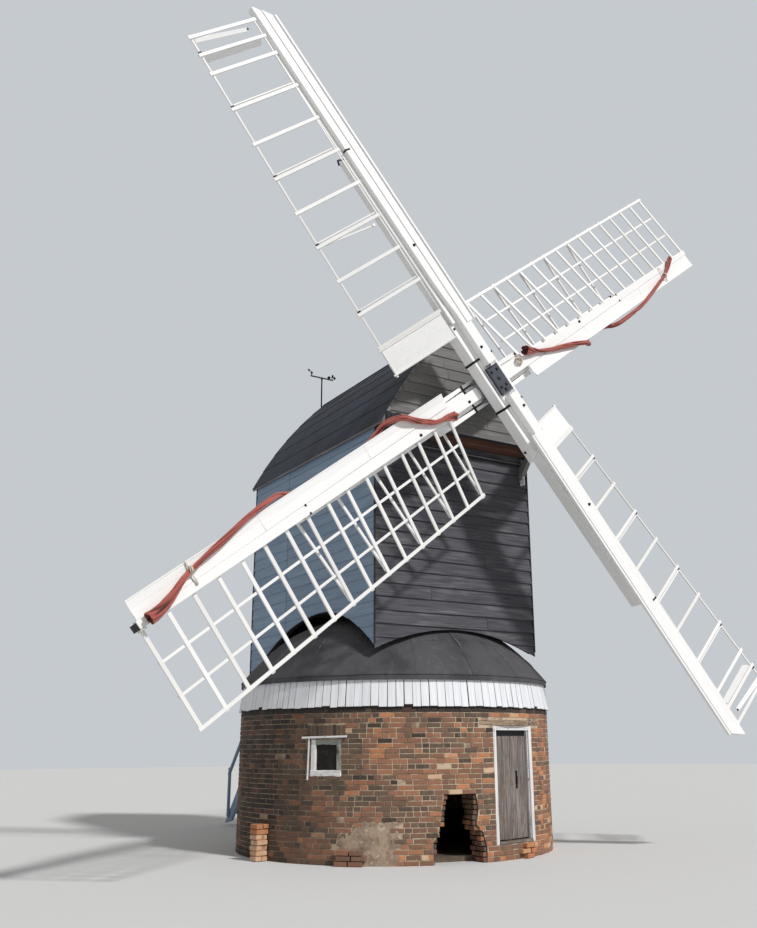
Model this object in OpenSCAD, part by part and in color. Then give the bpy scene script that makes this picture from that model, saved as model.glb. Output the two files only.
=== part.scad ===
// Post mill on a round brick house. Millimetres, real size, +Z up.
// Origin: middle of the round house, on the ground it stands on.
// The sails face -Y, and the ladder comes down behind, on the +Y side.

/* [Round house] */
// Outer radius of the brick wall
wall_r = 2750; // [2700:5:2800]
// Thickness of the brick wall
wall_t = 350; // [300:5:380]
// Height of the brick wall
wall_h = 2400; // [2380:5:2420]
// Thickness of the floor inside
floor_t = 80; // [50:5:120]
// Height of the roof's edge
eave_h = 2790; // [2770:5:2800]
// How far the roof's edge stands out past the wall
eave_out = 20; // [10:1:30]
// Upright thickness of the boarded roof
roof_t = 90; // [70:1:100]
// Steepness of the roof at its edge in degrees
edge_slope = 51; // [49:0.5:52]
// Steepness of the roof above its curved foot in degrees
upper_slope = 22.5; // [21:0.5:23]
// Width of the roof's curved foot
foot_w = 1150; // [1120:5:1160]
// Height of the foot of the white boards under the roof's edge
fascia_z = 2290; // [2270:5:2310]
// Thickness of a white board
fascia_t = 22; // [18:1:26]
// How far the foot of the boards stands out past the wall
fascia_out = 50; // [46:1:60]
// How far the boards lean in towards their top
fascia_lean = 78; // [60:1:80]

/* [Door] */
// Direction of the door in degrees from the front towards +X
door_az = 13.4; // [12:0.1:15]
// Width of the doorway in the brick
door_w = 990; // [950:5:1010]
// Height of the doorway's foot
sill_h = 230; // [200:5:250]
// Height of the doorway
door_h = 1780; // [1740:5:1790]
// Width of the door frame's timber
frame_w = 72; // [60:1:80]
// Depth of the door frame
frame_d = 110; // [90:1:130]
// Height of the threshold in the frame
threshold_h = 40; // [30:1:50]
// Thickness of the door's planks
leaf_t = 42; // [35:1:50]
// Gap round the door leaf
leaf_gap = 8; // [7:1:10]
// Thickness of the ledges behind the planks
ledge_t = 22; // [16:1:26]
// Height of a ledge
ledge_h = 120; // [90:1:140]
// Radius of a hinge pin
pin_r = 6; // [5:0.5:7]
// Length of a hinge's middle knuckle
knuckle_l = 60; // [50:1:70]
// Height of the timber lintel
lintel_h = 85; // [70:1:100]
// How far the lintel reaches to each side of the doorway, in degrees
lintel_arc = 6; // [4:0.5:7]

/* [Window] */
// Direction of the window in degrees
win_az = -54.7; // [-57:0.1:-53]
// Width of the window opening
win_w = 518; // [500:2:530]
// Height of the window opening
win_h = 540; // [520:2:560]
// Height of the window's foot
win_z = 1270; // [1240:5:1300]
// Width of the window frame's timber
win_bar = 78; // [60:1:90]
// Depth of the window frame
win_d = 90; // [70:1:110]
// Thickness of the pane
pane_t = 6; // [4:1:8]

/* [Trestle] */
// Radius of the main post
post_r = 330; // [300:5:350]
// Height of the post's shoulder under the crown tree
post_h = 5300; // [5250:5:5350]
// Side of a square trestle timber
tree_w = 300; // [280:5:320]
// Half length of a crosstree
tree_l = 2300; // [2250:5:2330]
// Height of the lower brick piers
pier_h = 650; // [600:5:700]
// Width of a pier
pier_w = 600; // [560:5:620]
// Side of a quarter bar
bar_w = 270; // [240:5:280]
// Height where the quarter bars meet the post
bar_z = 3500; // [3400:10:3550]

/* [Body of the mill] */
// Half width of the body
half_w = 1640; // [1620:5:1660]
// Distance of the breast in front of the post
breast_y = 2050; // [2030:5:2070]
// Distance of the tail wall behind the post
tail_y = 2750; // [2700:5:2800]
// Thickness of the framed walls
body_t = 90; // [80:1:100]
// Thickness of the boards that hang below the body's floor in front
skirt_t = 30; // [25:1:35]
// Height of the breast's foot at its corners
breast_low = 3240; // [3220:5:3260]
// Height of the breast's foot in the middle
breast_high = 3570; // [3565:5:3580]
// Height of the side walls' foot in front
side_front = 3260; // [3240:5:3280]
// Height of the side walls' foot at its highest
side_high = 3970; // [3950:5:3990]
// Where the side walls' foot is highest, behind the post
side_peak = -200; // [-230:10:-150]
// Height of the side walls' foot at the tail
side_tail = 2980; // [2970:5:3000]
// Height of the middle of the tail wall's foot
tail_high = 3250; // [3200:5:3280]
// Top of the body's floor
floor_z = 4420; // [4410:5:4440]
// Thickness of the body's floor
deck_t = 110; // [90:5:115]
// Height of the crown tree
crown_h = 480; // [440:5:500]
// Depth of the crown tree
crown_w = 460; // [420:5:480]
// Width of the tail door
tail_door_w = 860; // [800:5:900]
// Height of the tail door
tail_door_h = 1800; // [1750:5:1850]

/* [Head and roof] */
// Height of the eaves
eave_z = 6930; // [6915:5:6940]
// Height of the ridge
ridge_z = 9190; // [9150:5:9220]
// Bulge of each curved roof side over a straight slope
roof_bulge = 130; // [110:1:145]
// Thickness of the body's roof
cover_t = 60; // [50:1:66]
// How far the roof reaches past the side walls
eave_over = 75; // [70:1:90]
// How far the roof reaches past the tail wall
tail_over = 100; // [60:5:120]
// How far the head stands out over the breast
jetty = 350; // [330:5:350]
// Height of the foot of the gable boards
gable_z = 6950; // [6945:5:6960]
// Height of the weather beam's underside
beam_z = 6840; // [6830:5:6860]
// Height of the weather beam
beam_h = 400; // [380:5:420]
// Height of the cheeks' foot under the roof
cheek_z = 6810; // [6790:5:6830]
// Height of the ledge across the breast
ledge_z = 6665; // [6650:5:6680]

/* [Shaft and stocks] */
// Distance of the sail cross in front of the post
hub_out = 3480; // [3470:5:3520]
// Height of the sail cross
hub_z = 7664; // [7650:2:7680]
// Tilt of the windshaft in degrees
tilt = 4.9; // [4.5:0.1:5.2]
// Turn of the sails at rest in degrees
turn = 37.3; // [30:0.1:45]
// Radius of the iron neck
neck_r = 165; // [150:1:175]
// Radius of the wooden shaft
shaft_r = 235; // [220:1:250]
// Radius of the tail pin
tail_pin_r = 90; // [80:1:100]
// Distance between the outer and the inner stock
stock_gap = 375; // [370:1:380]
// Half length of a stock
stock_l = 4550; // [4450:10:4650]
// Width of a stock at the shaft
stock_w = 330; // [310:2:340]
// Width of a stock at its ends
stock_end = 220; // [200:2:230]
// Depth of a stock
stock_d = 230; // [220:1:235]
// Half length of a clamp, from the shaft
clamp_l = 1300; // [1200:10:1400]
// Thickness of a clamp
clamp_t = 90; // [80:1:100]

/* [Sail frames] */
// Length of a sail from the shaft
sail_r = 7430; // [7420:2:7450]
// Width of a whip at the shaft
whip_w = 210; // [200:2:220]
// Width of a whip at its tip
whip_tip = 120; // [110:2:130]
// Thickness of a whip
whip_t = 130; // [120:1:132]
// How far the whip's front stands before the lattice
whip_front = 50; // [46:1:54]
// Reach of the bars of a cloth sail
cloth_w = 1575; // [1540:5:1590]
// Twist of a cloth sail at its heel and tip, in degrees
cloth_heel = 15; // [14:0.2:15.4]
// Twist of a cloth sail at its tip in degrees
cloth_tip = 7.3; // [6:0.1:8]
// Number of bars in a cloth sail
cloth_bars = 16; // [14:1:16]
// Reach of the rungs of a spring sail
spring_w = 1540; // [1500:5:1560]
// Twist of a spring sail at its heel in degrees
spring_heel = 22; // [20:0.2:23]
// Twist of a spring sail at its tip in degrees
spring_tip = 5.2; // [4:0.1:7]
// Width of a bar
lath_w = 62; // [50:1:70]
// Thickness of a bar
lath_t = 28; // [24:1:34]
// Width of the laths along the sail
long_w = 46; // [40:1:54]
// Reach of the leading boards of a cloth sail
lead_w = 350; // [330:2:360]
// Reach of the leading boards of a spring sail
lead_narrow = 180; // [170:2:190]
// Thickness of a sail board
board_t = 20; // [16:1:24]

/* [Tail ladder] */
// Distance between the middles of the strings
ladder_w = 900; // [860:5:940]
// How far behind the post the ladder's foot comes down
ladder_foot = 6600; // [6500:10:6700]
// Height of the ladder's foot over the ground
ladder_lift = 40; // [30:2:60]
// Depth of a string
string_d = 220; // [200:5:240]
// Thickness of a string
string_t = 60; // [50:1:70]
// Number of treads
tread_n = 17; // [14:1:19]
// Depth of a tread
tread_d = 190; // [160:5:200]
// Thickness of a tread
tread_t = 36; // [30:1:40]
// Side of a handrail post
rail_w = 60; // [50:1:70]
// Height of the handrail over the ladder
rail_h = 900; // [850:5:950]

/* [Hidden] */
$fn = 96;
// Facets of the round house's circles
round_n = 360;

brick = [0.52, 0.36, 0.27];
white = [0.93, 0.93, 0.91];
shade = [0.62, 0.66, 0.7];
tar = [0.2, 0.2, 0.21];
felt = [0.3, 0.31, 0.33];
oak = [0.42, 0.33, 0.24];
iron = [0.1, 0.1, 0.11];
canvas = [0.72, 0.34, 0.25];

// Running gap between a turning piece and what carries it
run_gap = 0.3;
// Space round the post in the body's floor
post_gap = 15;
// Space round the neck in the gable
neck_gap = 20;
// How far cutting shapes reach past what they cut
past = 100;
// Half the joint between two segments of the round wall, in degrees
wall_joint = 0.003;

// Turns a piece drawn at the front, towards -Y, to a direction round the house
module face(az) {
  rotate([0, 0, az]) children();
}

// A wedge of space between two directions, less than 180 degrees apart, short of both by a joint
module wedge(from, to, z0, z1) {
  a = from + wall_joint;
  b = to - wall_joint;
  far = 2 * wall_r / cos((b - a) / 2);
  mid = (a + b) / 2;
  translate([0, 0, z0])
    linear_extrude(z1 - z0)
      polygon([[0, 0], [far * sin(a), -far * cos(a)],
               [far * sin(mid), -far * cos(mid)], [far * sin(b), -far * cos(b)]]);
}

// A ring of wall between two directions, two radii and two heights
module ring(a, b, r0, r1, z0, z1) {
  intersection() {
    translate([0, 0, z0])
      difference() {
        cylinder(r = r1, h = z1 - z0, $fn = round_n);
        translate([0, 0, -past]) cylinder(r = r0, h = z1 - z0 + 2 * past, $fn = round_n);
      }
    wedge(a, b, z0 - past, z1 + past);
  }
}

// A straight timber from p to q, turned by roll about its length
module beam(p, q, w, t, roll = 0) {
  d = q - p;
  len = norm(d);
  translate(p)
    rotate([0, -asin(d[2] / len), atan2(d[1], d[0])])
      rotate([roll, 0, 0])
        translate([0, -w / 2, -t / 2]) cube([len, w, t]);
}

// Brick wall of the round house

wall_in = wall_r - wall_t;
// Directions where one wall segment ends and the next begins
seg_left = -88;
seg_front = -28;
seg_right = 92;
seg_back = 182;
door_top = sill_h + door_h;
door_half = asin(door_w / 2 / wall_r);
// Plane of the door frame's front
door_y = -wall_r * cos(door_half);
lintel_in = 120;

module door_space(z0, z1) {
  face(door_az)
    translate([-door_w / 2, -wall_r - past, z0])
      cube([door_w, 2 * wall_t, z1 - z0]);
}

module lintel_shape() {
  ring(door_az - door_half - lintel_arc, door_az + door_half + lintel_arc,
       wall_r - lintel_in, wall_r, door_top, door_top + lintel_h);
}

module wall_window() {
  color(brick)
    difference() {
      ring(seg_left, seg_front, wall_in, wall_r, 0, wall_h);
      face(win_az)
        translate([-win_w / 2, -wall_r - past, win_z]) cube([win_w, 2 * wall_t, win_h]);
    }
}

// The hole in the broken brickwork, as seen from the front
hole_az = -11;
hole_half = 300;
hole_top = 1000;
hole_low = 430;
hole_step = 120;
hole_edge = [
  [-hole_half - hole_step, -1], [-hole_half - hole_step, hole_low - hole_step],
  [-hole_half - hole_step / 3, hole_low], [-hole_half, hole_top - 3 * hole_step],
  [-hole_half + hole_step / 2, hole_top], [hole_half, hole_top],
  [hole_half + hole_step / 3, hole_top - 2 * hole_step], [hole_half, hole_low + hole_step],
  [hole_half + hole_step, hole_low], [hole_half + 3 * hole_step / 2, hole_low / 2],
  [hole_half + 3 * hole_step / 2, -1]
];

module wall_broken() {
  color(brick)
    difference() {
      ring(seg_front, door_az, wall_in, wall_r, 0, wall_h);
      face(hole_az)
        translate([0, -wall_in + wall_t / 2, 0])
          rotate([90, 0, 0])
            linear_extrude(2 * wall_t) polygon(hole_edge);
      door_space(-past, wall_h + past);
      lintel_shape();
    }
}

module wall_over_door() {
  color(brick)
    difference() {
      intersection() {
        ring(seg_front, seg_right - past / 2, wall_in, wall_r, 0, wall_h);
        union() {
          door_space(0, sill_h);
          door_space(door_top, wall_h);
        }
      }
      lintel_shape();
    }
}

module wall_right() {
  color(brick)
    difference() {
      ring(door_az, seg_right, wall_in, wall_r, 0, wall_h);
      door_space(-past, wall_h + past);
      lintel_shape();
    }
}

module wall_back_right() {
  color(brick) ring(seg_right, seg_back, wall_in, wall_r, 0, wall_h);
}

module wall_back_left() {
  color(brick) ring(seg_back, 360 + seg_left, wall_in, wall_r, 0, wall_h);
}

// Stump of a wall that once ran on, and a low step of bricks before the patched wall
stub_az = -80;
stub_w = 250;
stub_l = 250;
stub_h = 550;
step_from = -51;
step_to = -41.5;
step_d = 105;
step_h = 225;

module wall_stub() {
  color(brick) {
    difference() {
      face(stub_az)
        translate([-stub_w / 2, -wall_r - stub_l, 0]) cube([stub_w, 2 * stub_l, stub_h]);
      translate([0, 0, -past]) cylinder(r = wall_r, h = stub_h + 2 * past, $fn = round_n);
    }
    ring(step_from, step_to, wall_r, wall_r + step_d, 0, step_h);
  }
}

module round_floor() {
  color(brick) cylinder(r = wall_in, h = floor_t, $fn = round_n);
}

// Door and window

// Clear width and height inside the frame
door_in = door_w - 2 * frame_w;
leaf_w = door_in - 2 * leaf_gap;
leaf_h = door_h - frame_w - threshold_h - 2 * leaf_gap;
leaf_z = sill_h + threshold_h + leaf_gap;
// The leaf's inner face lies in the plane of the frame's back, and the hinges stand on it
leaf_y = door_y + frame_d;
knuckle_r = 14;
plate_t = 6;
hinge_x = -door_in / 2 + leaf_gap / 2;
hinge_y = leaf_y + knuckle_r + 2;
hinge_low = 260;
hinge_high = 320;
hinge_at = [leaf_z + hinge_low, leaf_z + leaf_h - hinge_high];
latch_w = 36;
latch_h = 210;
latch_t = 16;
latch_x = leaf_w * 0.65;
latch_z = leaf_h * 0.48;

module door_frame() {
  pin_l = 2 * knuckle_l;
  color(white)
    face(door_az)
      translate([-door_w / 2, door_y, sill_h])
        difference() {
          cube([door_w, frame_d, door_h - run_gap]);
          translate([frame_w, -past, threshold_h])
            cube([door_in, frame_d + 2 * past, door_h - threshold_h - frame_w]);
        }
  color(iron)
    face(door_az)
      for (z = hinge_at)
        translate([hinge_x, hinge_y, z]) {
          translate([0, 0, -knuckle_l / 2]) cylinder(r = pin_r, h = pin_l);
          for (low = [-knuckle_l / 2, knuckle_l + run_gap])
            translate([0, 0, low]) {
              cylinder(r = knuckle_r, h = knuckle_l / 2 - run_gap);
              translate([-frame_w + leaf_gap, leaf_y - hinge_y, 0])
                cube([frame_w - leaf_gap, plate_t, knuckle_l / 2 - run_gap]);
            }
        }
}

module door_lintel() {
  color(oak) lintel_shape();
}

module door_leaf() {
  face(door_az)
    translate([-leaf_w / 2, leaf_y - leaf_t, leaf_z]) {
      color(shade) cube([leaf_w, leaf_t, leaf_h]);
      color(oak)
        for (z = [ledge_h, (leaf_h - ledge_h) / 2, leaf_h - 2 * ledge_h])
          translate([ledge_h + plate_t, leaf_t, z])
            cube([leaf_w - 3 * ledge_h / 2, ledge_t, ledge_h]);
      color(iron)
        translate([latch_x, -latch_t, latch_z]) cube([latch_w, latch_t, latch_h]);
    }
  color(iron)
    face(door_az)
      for (z = hinge_at)
        translate([hinge_x, hinge_y, z])
          difference() {
            union() {
              cylinder(r = knuckle_r, h = knuckle_l);
              translate([0, leaf_y - hinge_y, 0]) cube([ledge_h, plate_t, knuckle_l]);
            }
            translate([0, 0, -1]) cylinder(r = pin_r + run_gap, h = knuckle_l + 2);
          }
}

win_y = -wall_r * cos(asin(win_w / 2 / wall_r));

module window_frame() {
  color(white)
    face(win_az)
      translate([-win_w / 2, win_y, win_z])
        difference() {
          cube([win_w, win_d, win_h]);
          translate([win_bar, -past, win_bar])
            cube([win_w - 2 * win_bar, win_d + 2 * past, win_h - 2 * win_bar]);
        }
}

module window_glass() {
  color(iron)
    face(win_az)
      translate([-win_w / 2 + win_bar, win_y + (win_d - pane_t) / 2, win_z + win_bar])
        cube([win_w - 2 * win_bar, pane_t, win_h - 2 * win_bar]);
}

// Roof of the round house

roof_r = wall_r + eave_out;
roof_curve = (tan(edge_slope) - tan(upper_slope)) / 2 / foot_w;
roof_steps = 10;
foot_rise = tan(edge_slope) * foot_w - roof_curve * foot_w * foot_w;
// Height of the roof over its edge, at a distance in from the edge
function rise(t) = t < foot_w ? tan(edge_slope) * t - roof_curve * t * t
                              : foot_rise + tan(upper_slope) * (t - foot_w);
roof_line = [for (i = [0:roof_steps]) [roof_r - foot_w * i / roof_steps,
                                       eave_h + rise(foot_w * i / roof_steps)]];
// The roof ends against the main post
roof_in = [post_r, eave_h + rise(roof_r - post_r)];
roof_top = concat(roof_line, [roof_in]);
roof_low = [for (p = roof_top) [p[0], p[1] - roof_t]];

module round_roof() {
  color(felt)
    rotate_extrude()
      polygon(concat(roof_top, [for (i = [len(roof_low) - 1:-1:0]) roof_low[i]]));
}

plate_in = wall_r - 150;
fascia_foot = wall_r + fascia_out;
lean = fascia_lean / (eave_h - fascia_z);

// White boards hung round the wall plate under the roof's edge
module fascia() {
  inner_foot = fascia_foot - fascia_t;
  inner_top = inner_foot - lean * (wall_h - fascia_z);
  color(white)
    intersection() {
      rotate_extrude()
        polygon([[inner_foot, fascia_z], [fascia_foot, fascia_z],
                 [fascia_foot - fascia_lean, eave_h], [fascia_foot - fascia_lean, eave_h + wall_t],
                 [plate_in, eave_h + wall_t], [plate_in, wall_h], [inner_top, wall_h]]);
      rotate_extrude()
        polygon(concat([[0, 0], [roof_r, 0]], roof_low, [[0, eave_h]]));
    }
}

// Trestle and post

trestle_az = door_az + 45;
trestle_top = pier_h + 2 * tree_w;

module brick_piers() {
  color(brick)
    for (k = [0:3])
      face(trestle_az + 90 * k)
        translate([-pier_w / 2, -tree_l, floor_t])
          cube([pier_w, pier_w, pier_h + (k % 2) * tree_w - floor_t]);
}

module crosstree(level) {
  face(trestle_az + 90 * level)
    translate([-tree_w / 2, -tree_l, pier_h + level * tree_w])
      cube([tree_w, 2 * tree_l, tree_w]);
}

module quarter_bar(k) {
  level = k % 2;
  foot = pier_h + (level + 1) * tree_w;
  face(trestle_az + 90 * k)
    beam([0, -tree_l + tree_w, foot + bar_w / 4], [0, -post_r / 3, bar_z], bar_w, bar_w);
}

module trestle() {
  color(oak) {
    crosstree(0);
    crosstree(1);
    difference() {
      for (k = [0:3]) quarter_bar(k);
      crosstree(0);
      crosstree(1);
      translate([0, 0, trestle_top]) cylinder(r = post_r + run_gap, h = post_h);
    }
  }
}

pintle_r = 90;
pintle_h = 140;

module main_post() {
  color(oak) {
    translate([0, 0, trestle_top + run_gap])
      cylinder(r = post_r, h = post_h - trestle_top - run_gap);
    translate([0, 0, post_h]) cylinder(r = pintle_r, h = pintle_h);
  }
}

// Body of the mill

inner_w = half_w - body_t;
foot_steps = 20;

module crown_tree() {
  color(oak)
    difference() {
      translate([-inner_w, -crown_w / 2, post_h]) cube([2 * inner_w, crown_w, crown_h]);
      translate([0, 0, post_h - 1]) cylinder(r = pintle_r + run_gap, h = pintle_h + 2 + run_gap);
    }
}

module body_floor() {
  color(oak)
    difference() {
      translate([-inner_w, -breast_y + body_t, floor_z - deck_t])
        cube([2 * inner_w, breast_y + tail_y - 2 * body_t, deck_t]);
      translate([0, 0, floor_z - deck_t - 1]) cylinder(r = post_r + post_gap, h = deck_t + 2);
    }
}

// A wall across the body, in x and z, with an arched foot
module arched(top, corner, crown) {
  foot = [for (i = [0:foot_steps]) let (u = 2 * i / foot_steps - 1)
            [u * inner_w, crown - (crown - corner) * u * u]];
  polygon(concat(foot, [[inner_w, top], [-inner_w, top]]));
}

ledge_out = 60;
ledge_up = 40;

module breast() {
  skirt_top = floor_z - deck_t;
  color(tar) {
    translate([0, -breast_y + skirt_t, 0])
      rotate([90, 0, 0])
        linear_extrude(skirt_t) arched(gable_z, breast_low, breast_high);
    translate([-inner_w, -breast_y + skirt_t, skirt_top])
      cube([2 * inner_w, body_t - skirt_t, gable_z - skirt_top]);
    translate([-half_w, -breast_y - ledge_out, ledge_z]) cube([2 * half_w, ledge_out, ledge_up]);
  }
}

// Roof curve: each side is an arc from the eave to the ridge
eave_x = half_w + eave_over;
chord = norm([eave_x, ridge_z - eave_z]);
arc_r = (chord * chord / 4 + roof_bulge * roof_bulge) / 2 / roof_bulge;
arc_way = [ridge_z - eave_z, eave_x] / chord;
arc_mid = [eave_x / 2, (eave_z + ridge_z) / 2] - (arc_r - roof_bulge) * arc_way;
arc_from = atan2(eave_z - arc_mid[1], eave_x - arc_mid[0]);
arc_to = atan2(ridge_z - arc_mid[1], -arc_mid[0]);
arc_steps = 16;
// A point on the roof's arc, u from 0 at the eave to 1 at the ridge, inset below the surface
function arc_pt(u, inset) = arc_mid + (arc_r - inset)
  * [cos(arc_from + (arc_to - arc_from) * u), sin(arc_from + (arc_to - arc_from) * u)];

// One side of the roof in x and z, between two insets
module roof_band(inset0, inset1) {
  intersection() {
    polygon(concat([for (i = [-2:arc_steps + 2]) arc_pt(i / arc_steps, inset0)],
                   [for (i = [arc_steps + 2:-1:-2]) arc_pt(i / arc_steps, inset1)]));
    translate([0, eave_z]) square([2 * half_w, ridge_z - eave_z]);
  }
}

// Everything under the roof's inner surface, in x and z, down to a height
module under_roof(z0) {
  edge = [for (i = [-2:arc_steps + 2]) arc_pt(i / arc_steps, cover_t)];
  half = concat([[0, z0], [eave_x, z0]], edge, [[0, ridge_z]]);
  for (k = [0, 1])
    mirror([k, 0])
      intersection() {
        polygon(half);
        translate([0, z0]) square([2 * half_w, ridge_z - z0]);
      }
}

// A prism along the body of a shape drawn in x and z, from y0 back to y1
module along(y0, y1) {
  translate([0, y1, 0]) rotate([90, 0, 0]) linear_extrude(y1 - y0) children();
}

side_top = eave_z + 180;

module side_wall() {
  front = [for (i = [0:foot_steps / 2]) let (u = 1 - 2 * i / foot_steps)
             [side_peak - u * (breast_y + side_peak),
              side_high - (side_high - side_front) * u * u]];
  back = [for (i = [1:foot_steps / 2]) let (u = 2 * i / foot_steps)
            [side_peak + u * (tail_y - side_peak),
             side_high - (side_high - side_tail) * u * u]];
  outline = concat(front, back, [[tail_y, side_top], [-breast_y, side_top]]);
  intersection() {
    translate([inner_w, 0, 0])
      rotate([90, 0, 90])
        linear_extrude(body_t) polygon(outline);
    along(-breast_y, tail_y)
      intersection() {
        under_roof(0);
        square([half_w, ridge_z]);
      }
  }
}

module left_side() {
  color(shade) mirror([1, 0, 0]) side_wall();
}

module right_side() {
  color(shade) side_wall();
}

module tail_wall() {
  color(tar)
    difference() {
      along(tail_y - body_t, tail_y)
        union() {
          arched(eave_z, side_tail, tail_high);
          intersection() {
            under_roof(eave_z);
            union() {
              translate([-inner_w, eave_z]) square([2 * inner_w, ridge_z]);
              translate([-half_w, side_top]) square([2 * half_w, ridge_z]);
            }
          }
        }
      translate([-tail_door_w / 2, tail_y - body_t - past, floor_z])
        cube([tail_door_w, body_t + 2 * past, tail_door_h]);
    }
}

module tail_door() {
  color(tar)
    translate([-tail_door_w / 2, tail_y - body_t, floor_z])
      cube([tail_door_w, body_t - skirt_t, tail_door_h]);
}

// Head of the mill

head_y = breast_y + jetty;
bearing_w = 560;
bearing_h = 200;
// Height of the shaft's middle over a distance in front of the post
function shaft_z(y) = hub_z - (hub_out - y) * tan(tilt);

module shaft_space(r) {
  on_shaft() translate([0, 0, -2 * hub_out]) cylinder(r = r, h = 2 * hub_out);
}

module head_gable() {
  color(tar)
    difference() {
      along(-head_y, -head_y + body_t) under_roof(gable_z);
      shaft_space(neck_r + neck_gap);
    }
}

module head_cheeks() {
  color(tar)
    for (k = [0, 1])
      mirror([k, 0, 0])
        intersection() {
          translate([inner_w, -head_y + body_t, cheek_z])
            cube([body_t, jetty - body_t, side_top - cheek_z]);
          along(-head_y, tail_y) under_roof(0);
        }
}

module weather_beam() {
  depth = jetty - body_t;
  color(oak)
    difference() {
      intersection() {
        translate([0, -head_y + body_t, 0]) {
          translate([-inner_w, 0, beam_z]) cube([2 * inner_w, depth, beam_h]);
          translate([-bearing_w / 2, 0, beam_z + beam_h - 1]) cube([bearing_w, depth, bearing_h]);
        }
        along(-head_y, tail_y) under_roof(0);
      }
      shaft_space(neck_r + run_gap);
    }
}

tail_beam_y = 1500;
tail_beam_d = 300;
tail_beam_z = 6880;
tail_beam_h = 320;

module tail_beam() {
  color(oak)
    difference() {
      intersection() {
        translate([-inner_w, tail_beam_y, tail_beam_z])
          cube([2 * inner_w, tail_beam_d, tail_beam_h]);
        along(-head_y, tail_y) under_roof(0);
      }
      shaft_space(tail_pin_r + run_gap);
    }
}

module roof_side() {
  along(-head_y, tail_y + tail_over) roof_band(0, cover_t);
}

module roof_left() {
  color(felt) mirror([1, 0, 0]) roof_side();
}

module roof_right() {
  color(felt) roof_side();
}

// Tail ladder

ladder_slope = (floor_z - ladder_lift) / (ladder_foot - tail_y);
string_up = string_d * norm([1, ladder_slope]);
// Height of the ladder's upper edge at a distance behind the post
function ladder_z(y) = floor_z - (y - tail_y) * ladder_slope;

module across(x0, x1) {
  translate([x0, 0, 0]) rotate([90, 0, 90]) linear_extrude(x1 - x0) children();
}

module ladder_strings() {
  foot = ladder_foot - string_up / ladder_slope;
  color(oak)
    for (x = [-ladder_w / 2, ladder_w / 2])
      across(x - string_t / 2, x + string_t / 2)
        polygon([[tail_y, floor_z - string_up], [foot, ladder_lift],
                 [ladder_foot, ladder_lift], [tail_y, floor_z]]);
}

module ladder_treads() {
  rise = (floor_z - ladder_lift) / (tread_n + 1);
  half = (ladder_w - string_t) / 2;
  color(oak)
    for (i = [1:tread_n]) {
      z = ladder_lift + rise * i;
      y = tail_y + (floor_z - z) / ladder_slope;
      translate([-half, y - tread_d, z - tread_t]) cube([2 * half, tread_d, tread_t]);
    }
}

module handrails() {
  span = ladder_foot - tail_y;
  color(shade)
    for (k = [0, 1])
      mirror([k, 0, 0])
        across((ladder_w + string_t) / 2, (ladder_w + string_t) / 2 + rail_w)
          union() {
            for (u = [0.1, 0.4, 0.7, 0.93])
              translate([tail_y + u * span, ladder_z(tail_y + u * span) - string_up / 2])
                square([rail_w, string_up / 2 + rail_h]);
            polygon([[tail_y + rail_w, ladder_z(tail_y + rail_w) + rail_h - 2 * rail_w],
                     [tail_y + 0.95 * span, ladder_z(tail_y + 0.95 * span) + rail_h - 2 * rail_w],
                     [tail_y + 0.95 * span, ladder_z(tail_y + 0.95 * span) + rail_h - rail_w / 2],
                     [tail_y + rail_w, ladder_z(tail_y + rail_w) + rail_h - rail_w / 2]]);
          }
}

// Weather instrument on a thin mast behind the ridge

mast_x = -100;
mast_y = tail_y + 160;
mast_r = 16;
mast_foot = 8350;
mast_top = 9830;
arm_half = 290;
arm_w = 60;
bracket_w = 40;
cup_r = 34;
vane_h = 150;

module wind_mast() {
  color(iron)
    translate([mast_x, mast_y, 0]) {
      translate([0, 0, mast_foot]) cylinder(r = mast_r, h = mast_top - mast_foot, $fn = 24);
      translate([-arm_half, -arm_w / 2, mast_top - arm_w]) cube([2 * arm_half, arm_w, arm_w]);
      for (z = [mast_foot + bracket_w, mast_foot + 6 * bracket_w])
        translate([-bracket_w / 2, tail_y - mast_y, z])
          cube([bracket_w, mast_y - tail_y, bracket_w / 2]);
      translate([-arm_half + arm_w, 0, mast_top - 1]) {
        cylinder(r = mast_r / 2, h = vane_h, $fn = 16);
        translate([0, 0, vane_h / 2]) sphere(r = mast_r + 8, $fn = 24);
      }
      translate([arm_half - arm_w, 0, mast_top - 1]) {
        cylinder(r = mast_r / 2, h = vane_h / 2, $fn = 16);
        for (a = [0:120:240])
          rotate([0, 0, a]) {
            translate([0, -mast_r / 4, vane_h / 2 - mast_r]) cube([2 * cup_r, mast_r / 2, mast_r / 2]);
            translate([2 * cup_r, 0, vane_h / 2 - mast_r / 2]) sphere(r = cup_r, $fn = 24);
          }
      }
    }
}

// Windshaft, poll end and stocks

// Draws on the shaft: local Z points forward along the shaft, X to the right
module on_shaft() {
  translate([0, -hub_out, hub_z]) rotate([90 - tilt, 0, 0]) children();
}

// Draws a sail with its length along +Y; the leading side is +X and -Z is behind
module sail(k) {
  on_shaft() rotate([0, 0, turn + 90 * k]) translate([0, 0, -(k % 2) * stock_gap]) children();
}

whip_back = whip_front - whip_t;
stock_back = whip_back - stock_d;
poll_half = 250;
poll_wall = 36;
poll_wide = stock_w / 2 + poll_wall;
lid_t = 50;
lid_half = stock_w / 2 + 10;
poll_rear = stock_back - stock_gap - poll_wall;
neck_end = -1490;
shaft_end = -4850;
pin_end = -5340;

module windshaft() {
  color(oak)
    on_shaft() {
      translate([0, 0, shaft_end]) cylinder(r = shaft_r, h = neck_end - shaft_end);
      translate([0, 0, pin_end]) cylinder(r = tail_pin_r, h = shaft_end - pin_end);
    }
}

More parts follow.
